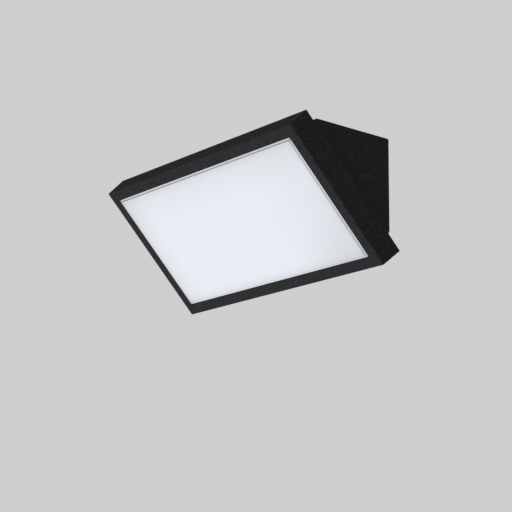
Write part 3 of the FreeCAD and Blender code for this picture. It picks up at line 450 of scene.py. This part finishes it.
def led_board(name, color):
    """White solder mask over copper: wide tracks show faintly, and bright pads lie at each chip."""
    s = Surface(name)
    depth, across, up = from_chip(s)
    across = abs(across)
    up = abs(up)
    edge = 0.15 * MM
    track = up.within(TRACK_HALF, edge) * across.ramp(TRACK_GAP_HALF, TRACK_GAP_HALF + edge)
    rail = up.line(RAIL_AT, RAIL_WIDTH).ramp(0.2, 0.35)
    copper = track.most(rail) * (1.0 - (up > COPPER_HALF))
    pad = across.within(PAD_HALF_LENGTH, 0.1 * MM) * up.within(PAD_HALF_WIDTH, 0.1 * MM)
    face = 1.0 - (depth > BOARD_FACE + 0.05 * MM)
    bare = pad * face
    weave = s.noise(0.5 * MM)
    mask = s.mix(copper * 0.6 + weave * 0.25, color, tuple(c * 0.86 for c in color))
    core = s.mix(s.noise(0.4 * MM, at=s.stretched(x=0.1)), *BOARD_CORE)
    return s.finish(
        Base_Color=s.mix(face, core, s.mix(bare, mask, BARE_PAD)),
        Metallic=bare * 0.9,
        Roughness=0.38 - 0.1 * bare + weave.sway(0.1),
        Normal=s.relief(copper * face * 0.8 + weave * 0.2, 0.035 * MM),
    )


def led_chip(name, phosphor):
    """A white ceramic body whose round recess is filled with phosphor."""
    s = Surface(name)
    depth, across, up = from_chip(s)
    reach = (across * across + up * up) ** 0.5
    filled = reach.within(PHOSPHOR_RADIUS, 0.05 * MM)
    grains = s.cells(0.12 * MM)
    return s.finish(
        Base_Color=s.mix(filled, CHIP_BODY, s.shades(grains, phosphor, low=0.85, high=1.08)),
        Roughness=0.5 - 0.28 * filled,
        Emission_Color=s.mix(filled, DARK, CHIP_GLOW),
        Emission_Strength=1.0,
        Normal=s.relief(grains, 0.012 * MM),
    )


def circuit_board(name, color):
    """Green solder mask with tracks, pads and through-holes on a grid."""
    s = Surface(name)
    x, y, z = s.split(s.place)
    cell_x = x % GRID - GRID / 2
    cell_z = z % GRID - GRID / 2
    near = (cell_x * cell_x + cell_z * cell_z) ** 0.5
    used = s.noise(4.5 * MM, detail=0.0) > 0.54
    pad = near.within(RING_RADIUS, 0.07 * MM) * used
    hole = near.within(HOLE_RADIUS, 0.06 * MM)
    lanes = (s.noise(9 * MM, detail=0.0, at=s.stretched(z=0.35)) * 16.0).sine()
    track = abs(lanes).within(0.25, 0.15)
    weave = s.noise(0.35 * MM)
    return s.finish(
        Base_Color=s.mix(
            pad,
            s.shades(track * 0.8 + weave * 0.2, color, low=0.75, high=1.7),
            s.mix(hole, TINNED_PAD, DRILLED_HOLE),
        ),
        Metallic=pad * (1.0 - hole) * 0.9,
        Roughness=0.34 + weave.sway(0.1),
        Normal=s.relief(track * 0.6 + pad * 0.4, 0.04 * MM),
    )


def wound_parts(name, sleeve, left, right):
    """The driver's parts by place between their left and right ends.

    A bare ferrite choke stands left, a taped transformer in the middle and a sleeved capacitor right.
    """
    s = Surface(name)
    x, y, z = s.split(s.place)
    is_choke = x.within(left + CHOKE_END, SOFT_STEP)
    is_capacitor = x.ramp(right - CAPACITOR_START - SOFT_STEP, right - CAPACITOR_START)
    lap = ((z / TAPE_WIDTH + 0.35 * s.noise(8 * MM, detail=1.0)) % 1.0).line(0.5, 0.08)
    tape = s.mix(lap, TAPE, TAPE_EDGE)
    stripe = x.line(right - CAPACITOR_RADIUS, STRIPE_WIDTH)
    sleeved = s.mix(stripe, sleeve, SLEEVE_STRIPE)
    fine = s.noise(0.3 * MM)
    ferrite = s.shades(fine, FERRITE, low=0.7, high=1.4)
    return s.finish(
        Base_Color=s.mix(is_choke, s.mix(is_capacitor, tape, sleeved), ferrite),
        Roughness=0.42 + 0.25 * is_choke + fine.sway(0.08),
        Normal=s.relief(fine * 0.5 + lap * 0.5, 0.03 * MM),
    )


def bright_metal(name, color, roughness):
    """Copper or tinned copper, stamped, with small scratches and a light tarnish."""
    s = Surface(name)
    tarnish = s.noise(1.6 * MM, detail=4.0, roughness=0.65)
    scratch = s.noise(0.15 * MM, at=s.stretched(z=0.08))
    return s.finish(
        Base_Color=s.shades(tarnish.ramp(0.3, 0.75), color, low=0.7, high=1.12),
        Metallic=1.0,
        Roughness=roughness + tarnish.sway(0.2) + scratch.sway(0.08),
        Normal=s.relief(scratch, 0.008 * MM),
    )


def sheath(name, color, second=None):
    """Extruded PVC: fine lines along the wire, and a second colour in broad bands where it has one."""
    s = Surface(name)
    x, y, z = s.split(s.place)
    fine = s.noise(0.3 * MM)
    smudge = s.noise(6 * MM, detail=3.0)
    tint = s.shades(smudge.ramp(0.3, 0.7), color, low=0.88, high=1.12)
    if second:
        band = ((x + y * 0.6 + z * 0.8) / BAND_PITCH) % 1.0
        tint = s.mix(band.line(0.5, 0.62).ramp(0.15, 0.3), tint, second)
    return s.finish(
        Base_Color=tint,
        Roughness=0.42 + smudge.sway(0.14),
        Normal=s.relief(fine, 0.01 * MM),
        Coat_Weight=0.1,
    )


# ---------------------------------------------------------------- geometry trees
class Grower(Graph):
    """A geometry node tree with named inputs, which ends in Realize Instances and Set Material."""

    def __init__(self, name):
        super().__init__(bpy.data.node_groups.new(name, "GeometryNodeTree"))
        self.values = {}
        self.tree.interface.new_socket("Geometry", in_out="OUTPUT", socket_type="NodeSocketGeometry")
        self.source = self.tree.nodes.new("NodeGroupInput")
        self.sink = self.tree.nodes.new("NodeGroupOutput")

    def size(self, name, value, kind="NodeSocketFloat"):
        """A named input and the value that this build gives it."""
        item = self.tree.interface.new_socket(name, in_out="INPUT", socket_type=kind)
        self.values[item.identifier] = value
        return Value(self, next(s for s in self.source.outputs if s.identifier == item.identifier))

    def vector(self, x=0.0, y=0.0, z=0.0):
        """A vector put together from three values."""
        return self.node("ShaderNodeCombineXYZ", None, [x, y, z])

    def place(self, geometry, translation=(0.0, 0.0, 0.0), rotation=(0.0, 0.0, 0.0)):
        """The geometry turned and moved."""
        return self.node(
            "GeometryNodeTransform", None,
            {"Geometry": geometry, "Translation": translation, "Rotation": rotation},
        )

    def join(self, *parts):
        """Several geometries as one."""
        made = self.tree.nodes.new("GeometryNodeJoinGeometry")
        for part in parts:
            self.tree.links.new(part.socket, made.inputs[0])
        return Value(self, made.outputs[0])

    def grow(self, name, geometry, material):
        """Run the tree and return its result as a plain mesh object."""
        real = self.node("GeometryNodeRealizeInstances", None, [geometry])
        coated = self.node("GeometryNodeSetMaterial", None, {"Geometry": real, "Material": material})
        self.tree.links.new(coated.socket, self.sink.inputs[0])
        piece = bpy.data.objects.new(name, bpy.data.meshes.new(name))
        bpy.context.scene.collection.objects.link(piece)
        modifier = piece.modifiers.new("grow", "NODES")
        modifier.node_group = self.tree
        for identifier, value in self.values.items():
            modifier[identifier] = value
        graph = bpy.context.evaluated_depsgraph_get()
        mesh = bpy.data.meshes.new_from_object(piece.evaluated_get(graph))
        piece.modifiers.remove(modifier)
        piece.data = mesh
        mesh.name = name
        if not mesh.polygons:
            raise RuntimeError(f"{name} came out empty")
        return piece


def solder_fillets(material):
    """A solder fillet at each end of every chip, in rows along the boards."""
    g = Grower("solder_fillets")
    pitch = g.size("Chip pitch", CHIP_PITCH)
    columns = g.size("Chips per board", CHIPS_PER_BOARD, "NodeSocketInt")
    row_gap = g.size("Board spacing", BOARD_GAP)
    rows = g.size("Boards", len(BOARD_ROWS), "NodeSocketInt")
    chip = g.size("Chip side", CHIP_SIDE)
    length = g.size("Fillet length", 0.8 * MM)
    height = g.size("Fillet height", 0.35 * MM)
    bead = g.node("GeometryNodeMeshUVSphere", None, {"Segments": 12, "Rings": 6, "Radius": 1.0})
    half_width = chip * 0.42
    reach = chip * 0.5 + length * 0.1
    bead = g.node(
        "GeometryNodeTransform", None,
        {"Geometry": bead, "Scale": g.vector(length, half_width, height)},
    )
    pair = g.join(g.place(bead, g.vector(reach)), g.place(bead, g.vector(-reach)))
    grid = g.node(
        "GeometryNodeMeshGrid", None,
        {
            "Size X": pitch * (columns - 1.0), "Size Y": row_gap * (rows - 1.0),
            "Vertices X": columns, "Vertices Y": rows,
        },
    )
    many = g.node("GeometryNodeInstanceOnPoints", None, {"Points": grid, "Instance": pair})
    flat = g.node("GeometryNodeRealizeInstances", None, [many])
    middle = upright_point(0.0, BOARD_FACE, BOARD_ROWS[1])
    leaned = g.place(flat, middle, (TILT + math.pi / 2, 0.0, 0.0))
    return g.grow("solder_fillets", leaned, material)


def grommet_ribs(material):
    """Raised sealing ribs in circles on the grommet's wall-side flange."""
    g = Grower("grommet_ribs")
    count = g.size("Ribs", 3, "NodeSocketInt")
    first = g.size("Smallest radius", 6.3 * MM)
    step = g.size("Rib spacing", 1.9 * MM)
    thick = g.size("Rib radius", 0.38 * MM)
    line = g.node("GeometryNodeMeshLine", {"mode": "OFFSET"}, {"Count": count, "Offset": (0.0, 0.0, 0.0)})
    radius = first + g.node("GeometryNodeInputIndex") * step
    circle = g.node("GeometryNodeCurvePrimitiveCircle", None, {"Resolution": 96, "Radius": 1.0})
    rings = g.node(
        "GeometryNodeInstanceOnPoints", None,
        {"Points": line, "Instance": circle, "Scale": g.vector(radius, radius, 1.0)},
    )
    rings = g.node("GeometryNodeRealizeInstances", None, [rings])
    profile = g.node("GeometryNodeCurvePrimitiveCircle", None, {"Resolution": 12, "Radius": thick})
    ribs = g.node("GeometryNodeCurveToMesh", None, {"Curve": rings, "Profile Curve": profile})
    smooth = g.node("GeometryNodeSetShadeSmooth", None, [ribs])
    placed = g.place(smooth, (0.0, GROMMET_FACE, 0.0), (math.pi / 2, 0.0, 0.0))
    return g.grow("grommet_ribs", placed, material)


def lock_screw_threads(material):
    """A raised helix round each lock screw's shank, between its head and its tip."""
    g = Grower("lock_screw_threads")
    pitch = g.size("Thread pitch", 0.7 * MM)
    shank = g.size("Shank radius", 2.0 * MM)
    ridge = g.size("Ridge size", 0.14 * MM)
    low, high = LOCK_THREAD
    length = g.size("Threaded length", high - low)
    spiral = g.node(
        "GeometryNodeCurveSpiral", None,
        {
            "Resolution": 40, "Rotations": length / pitch, "Height": length,
            "Start Radius": shank, "End Radius": shank,
        },
    )
    profile = g.node("GeometryNodeCurvePrimitiveCircle", None, {"Resolution": 6, "Radius": ridge})
    thread = g.node(
        "GeometryNodeCurveToMesh", None,
        {"Curve": spiral, "Profile Curve": profile, "Fill Caps": True},
    )
    points = g.node(
        "GeometryNodeMeshLine", {"mode": "OFFSET"},
        {"Count": 2, "Start Location": (-LOCK_X, LOCK_Y, low), "Offset": (2 * LOCK_X, 0.0, 0.0)},
    )
    both = g.node("GeometryNodeInstanceOnPoints", None, {"Points": points, "Instance": thread})
    return g.grow("lock_screw_threads", both, material)


def choke_winding(material, centre):
    """Turns of enamelled wire round the driver's ring choke."""
    g = Grower("choke_winding")
    turns = g.size("Turns", 16, "NodeSocketInt")
    wire = g.size("Wire radius", 0.36 * MM)
    slack = 0.7 * MM
    loop = g.node(
        "GeometryNodeCurvePrimitiveQuadrilateral", {"mode": "RECTANGLE"},
        {"Width": CHOKE_RADIUS - CHOKE_HOLE + slack, "Height": CHOKE_HEIGHT + slack},
    )
    loop = g.node("GeometryNodeFilletCurve", {"mode": "POLY"}, {"Curve": loop, "Radius": slack, "Count": 4})
    profile = g.node("GeometryNodeCurvePrimitiveCircle", None, {"Resolution": 8, "Radius": wire})
    turn = g.node("GeometryNodeCurveToMesh", None, {"Curve": loop, "Profile Curve": profile})
    turn = g.place(turn, ((CHOKE_RADIUS + CHOKE_HOLE) / 2, 0.0, 0.0), (math.pi / 2, 0.0, 0.0))
    point = g.node("GeometryNodeMeshLine", {"mode": "OFFSET"}, {"Count": turns, "Offset": (0.0, 0.0, 0.0)})
    angle = g.node("GeometryNodeInputIndex") * (2 * math.pi) / turns
    around = g.node(
        "GeometryNodeInstanceOnPoints", None,
        {"Points": point, "Instance": turn, "Rotation": g.vector(0.0, 0.0, angle)},
    )
    real = g.node("GeometryNodeRealizeInstances", None, [around])
    real = g.node("GeometryNodeSetShadeSmooth", None, [real])
    placed = g.place(real, centre, (math.pi / 2, 0.0, 0.0))
    return g.grow("choke_winding", placed, material)


# ---------------------------------------------------------------- helpers
def upright_point(x, depth, height):
    """The place of a point that is given by X, depth behind the front face and height up it."""
    return FACE_CORNER + Matrix.Rotation(TILT, 3, "X") @ Vector((x, depth, height))


def seen_rays(graph):
    """1 for the rays that show a background as it is: from the camera, off gloss and through glass."""
    rays = graph.node("ShaderNodeLightPath").socket.node.outputs
    shown = [Value(graph, rays[name]) for name in ("Is Camera Ray", "Is Glossy Ray", "Is Transmission Ray")]
    return shown[0].most(shown[1]).most(shown[2])


def dress(material, *nodes):
    """Give packed nodes a material."""
    for name in nodes:
        for entry in NODES[name].material_slots:
            entry.material = material


def settle(piece, body):
    """Let a new piece ride on a body."""
    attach(piece, body)


def color_prop(name, description, default):
    """A setting that holds a colour."""
    return bpy.props.FloatVectorProperty(
        name=name, description=description, default=default, subtype="COLOR", size=3, min=0.0, max=1.0,
    )


def length_prop(name, description, default):
    """A setting that holds a length."""
    return bpy.props.FloatProperty(
        name=name, description=description, default=default, unit="LENGTH", min=0.0,
    )


def angle_prop(name, description, degrees):
    """A setting that holds an angle, given in degrees."""
    return bpy.props.FloatProperty(
        name=name, description=description, default=math.radians(degrees), unit="ROTATION",
    )


def power_prop(name, description, default):
    """A setting that holds a lamp's power."""
    return bpy.props.FloatProperty(
        name=name, description=description, default=default, unit="POWER", min=0.0,
    )


def factor_prop(name, description, default):
    """A setting from 0 to 1."""
    return bpy.props.FloatProperty(
        name=name, description=description, default=default, subtype="FACTOR", min=0.0, max=1.0,
    )


# ---------------------------------------------------------------- settings
class WallPackCasingSettings(bpy.types.PropertyGroup):
    """Coat of the housing and the front frame."""

    coat: color_prop("Coat", "Colour of the powder coat", SLOT_COLORS["black_powder_coat"])
    roughness: factor_prop("Roughness", "How matt the coat is", 0.86)
    grain: length_prop("Grain", "Size of the coat's grains", 0.45 * MM)
    depth: length_prop("Grain depth", "Height of the coat's grains", 0.05 * MM)


class WallPackWindowSettings(bpy.types.PropertyGroup):
    """Opal window and its light."""

    opal: color_prop("Opal", "Colour of the plastic itself", (0.20, 0.205, 0.21))
    glow: color_prop("Glow", "Colour of the light that comes through", (0.584, 0.606, 0.654))
    rim: length_prop("Rim", "From the window's edge to the line inside it", 1.5 * MM)
    # the darker line inside the rim is a painted shadow line in the window's glow
    line: length_prop("Line width", "Width of the darker line inside the rim", 1.9 * MM)
    seal: color_prop("Seal", "Colour of the seal behind the window", SLOT_COLORS["silicone"])


class WallPackMetalSettings(bpy.types.PropertyGroup):
    """Steel, aluminium and copper parts."""

    zinc: color_prop("Zinc", "Colour of zinc plated steel", SLOT_COLORS["zinc_steel"])
    black: color_prop("Black screws", "Colour of the black plated screws", SLOT_COLORS["black_screws"])
    sheet: color_prop("Sheet", "Colour of the LED tray", SLOT_COLORS["aluminium_sheet"])
    copper: color_prop("Copper", "Colour of the contacts", SLOT_COLORS["copper"])
    tin: color_prop("Tin", "Colour of the ring tag and the solder", SLOT_COLORS["tin"])
    roughness: factor_prop("Roughness", "How matt the plated steel is", 0.36)


class WallPackPlasticSettings(bpy.types.PropertyGroup):
    """Plastic and rubber parts."""

    white: color_prop("White", "Driver case and connectors", SLOT_COLORS["white_plastic"])
    grey: color_prop("Grey", "Terminal block and cable clamp", SLOT_COLORS["grey_plastic"])
    orange: color_prop("Orange", "Clamp levers", SLOT_COLORS["orange_plastic"])
    dark: color_prop("Dark", "Vent plug and its nut", SLOT_COLORS["dark_plastic"])
    rubber: color_prop("Rubber", "Grommet and washers", SLOT_COLORS["black_rubber"])
    foam: color_prop("Foam", "Wall gasket", SLOT_COLORS["foam"])


class WallPackStageSettings(bpy.types.PropertyGroup):
    """Camera, lamps, floor and backdrop."""

    camera: bpy.props.FloatVectorProperty(
        name="Camera", description="Where the camera stands", default=(1.42116, -0.95877, -0.36713),
        subtype="TRANSLATION", unit="LENGTH", size=3,
    )
    turn: angle_prop("Turn", "Camera's turn to the left from looking along +Y", 57.2130)
    pitch: angle_prop("Pitch", "Camera's look upwards", 10.8888)
    roll: angle_prop("Roll", "Camera's roll", -0.0873)
    lens: bpy.props.FloatProperty(
        name="Lens", description="Focal length in millimetres on a 36 mm sensor", default=140.084, min=1.0,
    )
    floor: length_prop("Floor", "How far the floor lies below the light's origin", 1.6)
    pale: factor_prop("Backdrop", "Grey level of the floor and the backdrop", 0.62)
    ambient: factor_prop("Ambient", "Strength of the light from all round", 0.38)
    key: power_prop("Key", "Power of the lamp in front", 23.0)
    top: power_prop("Top", "Power of the lamp above", 2.75)
    back: power_prop("Back", "Power of the lamp behind", 11.0)


# ---------------------------------------------------------------- operators
class WallPackCasing(bpy.types.Operator):
    """Coat the housing and the front frame"""

    bl_idname = "wallpack.casing"
    bl_label = "Casing"

    def execute(self, context):
        look = context.scene.wallpack_casing
        coat = powder_coat("black_powder_coat", look.coat, look.roughness, look.grain, look.depth)
        dress(coat, "housing", "front_frame")
        return {"FINISHED"}


class WallPackWindow(bpy.types.Operator):
    """Light the opal window and colour its seal"""

    bl_idname = "wallpack.window"
    bl_label = "Window"

    def execute(self, context):
        look = context.scene.wallpack_window
        dress(opal_window("opal_window", look.opal, look.glow, look.rim, look.line), "diffuser")
        dress(soft_rubber("silicone", look.seal, roughness=0.55), "diffuser_seal", "vent_seal")
        return {"FINISHED"}


class WallPackFasteners(bpy.types.Operator):
    """Plate the screws and cut the lock screws' threads"""

    bl_idname = "wallpack.fasteners"
    bl_label = "Screws"

    def execute(self, context):
        look = context.scene.wallpack_metal
        black = plated_steel("black_screws", look.black, look.roughness + 0.08, dark=0.7)
        dress(black, "frame_screws", "lock_screws")
        zinc = plated_steel("screw_zinc", look.zinc, look.roughness)
        dress(
            zinc, "led_tray_screws", "led_board_screws", "driver_screws", "terminal_screws",
            "cable_clamp_screws", "earth_screw", "earth_washer",
        )
        settle(lock_screw_threads(black), "light")
        return {"FINISHED"}


class WallPackBracket(bpy.types.Operator):
    """Plate the wall bracket"""

    bl_idname = "wallpack.bracket"
    bl_label = "Wall bracket"

    def execute(self, context):
        look = context.scene.wallpack_metal
        dress(plated_steel("bracket_zinc", look.zinc, look.roughness + 0.04), "wall_bracket")
        return {"FINISHED"}


class WallPackSeals(bpy.types.Operator):
    """Colour the foam gasket, the rubber washers and the grommet, and give the grommet its ribs"""

    bl_idname = "wallpack.seals"
    bl_label = "Gasket and grommet"

    def execute(self, context):
        look = context.scene.wallpack_plastic
        dress(closed_foam("foam", look.foam), "wall_gasket")
        rubber = soft_rubber("black_rubber", look.rubber, roughness=0.68)
        dress(rubber, "lock_screw_washers", "cable_grommet")
        settle(grommet_ribs(rubber), "light")
        return {"FINISHED"}


class WallPackLightEngine(bpy.types.Operator):
    """Finish the reflector, the LED tray, its boards, chips and solder"""

    bl_idname = "wallpack.light_engine"
    bl_label = "Light engine"

    def execute(self, context):
        metal = context.scene.wallpack_metal
        plastic = context.scene.wallpack_plastic
        paint = gloss_paint("white_reflector", SLOT_COLORS["white_reflector"], roughness=0.28)
        dress(paint, "reflector")
        dress(brushed_sheet("aluminium_sheet", metal.sheet, roughness=0.34), "led_tray")
        board = led_board("white_board", SLOT_COLORS["white_board"])
        dress(board, "led_board_bottom", "led_board_middle", "led_board_top")
        dress(led_chip("led_chip", SLOT_COLORS["led_chip"]), "led_chips")
        clip = moulded(
            "connector_plastic", plastic.white, roughness=0.42, grain=0.25 * MM, depth=0.012 * MM,
        )
        dress(clip, "led_board_links", "led_board_connector")
        solder = bright_metal("solder", metal.tin, roughness=0.28)
        settle(solder_fillets(solder), "light")
        return {"FINISHED"}


class WallPackDriver(bpy.types.Operator):
    """Finish the driver's case, board and parts, and wind its choke"""

    bl_idname = "wallpack.driver"
    bl_label = "Driver"

    def execute(self, context):
        metal = context.scene.wallpack_metal
        plastic = context.scene.wallpack_plastic
        shell = moulded("driver_plastic", plastic.white, roughness=0.5, grain=0.35 * MM, depth=0.03 * MM)
        dress(shell, "driver_case", "driver_lid")
        dress(circuit_board("green_board", SLOT_COLORS["green_board"]), "driver_board")
        low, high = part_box("driver_parts")
        dress(wound_parts("driver_parts", plastic.dark, low.x, high.x), "driver_parts")
        centre = Vector((low.x + CHOKE_RADIUS, high.y - CHOKE_HEIGHT / 2, low.z + CHOKE_RISE))
        enamel = bright_metal("enamelled_wire", metal.copper, roughness=0.3)
        settle(choke_winding(enamel, centre), "light")
        return {"FINISHED"}


class WallPackTerminals(bpy.types.Operator):
    """Finish the terminal block, its contacts and levers, the cable clamp and the earth tag"""

    bl_idname = "wallpack.terminals"
    bl_label = "Terminals"

    def execute(self, context):
        metal = context.scene.wallpack_metal
        plastic = context.scene.wallpack_plastic
        grey = moulded("grey_plastic", plastic.grey, roughness=0.5, grain=0.3 * MM, depth=0.025 * MM)
        dress(grey, "terminal_block", "cable_clamp")
        orange = moulded("orange_plastic", plastic.orange, roughness=0.4, grain=0.25 * MM, depth=0.015 * MM)
        dress(orange, "clamp_lever_live", "clamp_lever_neutral", "clamp_lever_earth")
        dress(bright_metal("copper", metal.copper, roughness=0.3), "terminal_contacts")
        dress(bright_metal("tin", metal.tin, roughness=0.34), "earth_tag")
        return {"FINISHED"}


class WallPackVent(bpy.types.Operator):
    """Finish the vent plug and its nut"""

    bl_idname = "wallpack.vent"
    bl_label = "Vent"

    def execute(self, context):
        look = context.scene.wallpack_plastic
        dark = moulded("dark_plastic", look.dark, roughness=0.48, grain=0.3 * MM, depth=0.02 * MM)
        dress(dark, "vent_plug", "vent_nut")
        return {"FINISHED"}


class WallPackLeads(bpy.types.Operator):
    """Colour the leads inside the housing"""

    bl_idname = "wallpack.leads"
    bl_label = "Leads"

    def execute(self, context):
        dress(sheath("brown_sheath", SLOT_COLORS["brown_sheath"]), "live_lead")
        dress(sheath("blue_sheath", SLOT_COLORS["blue_sheath"]), "neutral_lead")
        dress(sheath("red_sheath", SLOT_COLORS["red_sheath"]), "led_plus_lead")
        dress(sheath("black_sheath", SLOT_COLORS["black_sheath"]), "led_minus_lead")
        dress(sheath("green_yellow_sheath", EARTH_YELLOW, EARTH_GREEN), "earth_lead")
        return {"FINISHED"}


class WallPackStage(bpy.types.Operator):
    """Put in the floor, the pale surroundings, the lamps and the camera"""

    bl_idname = "wallpack.stage"
    bl_label = "Stage"

    def execute(self, context):
        look = context.scene.wallpack_stage
        self.lay_floor(context.scene, look)
        self.surround(context.scene, look)
        self.hang_lamps(context.scene, look)
        self.stand_camera(context.scene, look)
        context.scene.view_settings.view_transform = "Standard"
        return {"FINISHED"}

    @staticmethod
    def lay_floor(scene, look):
        """A wide floor far below, painted and lit so that it looks as pale as the surroundings."""
        mesh = bpy.data.meshes.new("floor")
        signs = ((-1, -1), (1, -1), (1, 1), (-1, 1))
        corners = [(x * FLOOR_REACH, y * FLOOR_REACH, -look.floor) for x, y in signs]
        mesh.from_pydata(corners, [], [(0, 1, 2, 3)])
        floor = bpy.data.objects.new("floor", mesh)
        scene.collection.objects.link(floor)
        s = Surface("floor_paint")
        cloud = s.noise(0.6, detail=3.0)
        shown = look.pale - FLOOR_GREY * look.ambient
        light = s.mix(seen_rays(s), (look.ambient * FLOOR_BOUNCE,) * 3, (shown,) * 3)
        mesh.materials.append(s.finish(
            Base_Color=s.shades(cloud, (FLOOR_GREY,) * 3, low=0.94, high=1.06),
            Emission_Color=light,
            Emission_Strength=1.0,
            Roughness=0.9,
            Specular_IOR_Level=0.1,
        ))

    @staticmethod
    def surround(scene, look):
        """A world that shows pale to the camera and lights the object evenly."""
        world = bpy.data.worlds.new("surroundings")
        world.use_nodes = True
        scene.world = world
        g = Graph(world.node_tree)
        g.tree.nodes.clear()
        seen = seen_rays(g)
        light = g.node("ShaderNodeBackground", None, {"Color": (1.0, 1.0, 1.0), "Strength": look.ambient})
        pale = g.node("ShaderNodeBackground", None, {"Color": (look.pale,) * 3, "Strength": 1.0})
        both = g.node("ShaderNodeMixShader", None, [seen, light, pale])
        g.node("ShaderNodeOutputWorld", None, [both])

    @staticmethod
    def hang_lamps(scene, look):
        """Three round lamps: in front and below, above, and behind."""
        lamps = (
            ("key_lamp", (-0.6, -1.5, -1.1), 0.9, look.key),
            ("top_lamp", (0.9, -0.3, 1.8), 1.2, look.top),
            ("back_lamp", (-0.3, 1.8, 0.9), 2.2, look.back),
        )
        for name, place, size, power in lamps:
            data = bpy.data.lights.new(name, "AREA")
            data.shape = "DISK"
            data.size = size
            data.energy = power
            lamp = bpy.data.objects.new(name, data)
            lamp.location = place
            lamp.rotation_euler = (LAMP_AIM - Vector(place)).to_track_quat("-Z", "Y").to_euler()
            scene.collection.objects.link(lamp)

    @staticmethod
    def stand_camera(scene, look):
        """The camera as it stood for the reference picture."""
        data = bpy.data.cameras.new("camera")
        data.sensor_width = SENSOR_WIDTH
        data.lens = look.lens
        data.clip_start, data.clip_end = CLIP_RANGE
        camera = bpy.data.objects.new("camera", data)
        turn = Matrix.Rotation(look.turn, 4, "Z") @ Matrix.Rotation(math.pi / 2 + look.pitch, 4, "X")
        camera.matrix_world = Matrix.Translation(look.camera) @ turn @ Matrix.Rotation(-look.roll, 4, "Z")
        scene.collection.objects.link(camera)
        scene.camera = camera


class WallPackPanel(bpy.types.Panel):
    """Sidebar panel that lists the pieces and their settings"""

    bl_idname = "VIEW3D_PT_wallpack"
    bl_label = "Wall pack light"
    bl_space_type = "VIEW_3D"
    bl_region_type = "UI"
    bl_category = "Wall pack"

    def draw(self, context):
        for operator in OPERATORS:
            self.layout.operator(operator.bl_idname)
        for name, group in SETTINGS.items():
            box = self.layout.box()
            box.label(text=group.__doc__)
            for prop in group.__annotations__:
                box.prop(getattr(context.scene, name), prop)


SETTINGS = {
    "wallpack_casing": WallPackCasingSettings,
    "wallpack_window": WallPackWindowSettings,
    "wallpack_metal": WallPackMetalSettings,
    "wallpack_plastic": WallPackPlasticSettings,
    "wallpack_stage": WallPackStageSettings,
}
OPERATORS = (
    WallPackCasing, WallPackWindow, WallPackFasteners, WallPackBracket, WallPackSeals, WallPackLightEngine,
    WallPackDriver, WallPackTerminals, WallPackVent, WallPackLeads, WallPackStage,
)


def register():
    """Register the settings, the operators and the panel."""
    for group in SETTINGS.values():
        bpy.utils.register_class(group)
    for name, group in SETTINGS.items():
        setattr(bpy.types.Scene, name, bpy.props.PointerProperty(type=group))
    for operator in OPERATORS:
        bpy.utils.register_class(operator)
    bpy.utils.register_class(WallPackPanel)


def unregister():
    """Take back what register() did."""
    bpy.utils.unregister_class(WallPackPanel)
    for operator in reversed(OPERATORS):
        bpy.utils.unregister_class(operator)
    for name, group in SETTINGS.items():
        delattr(bpy.types.Scene, name)
        bpy.utils.unregister_class(group)


def main():
    """Run every operator."""
    register()
    for operator in OPERATORS:
        name = operator.bl_idname.split(".")[1]
        getattr(bpy.ops.wallpack, name)()


if __name__ == "__main__":
    main()
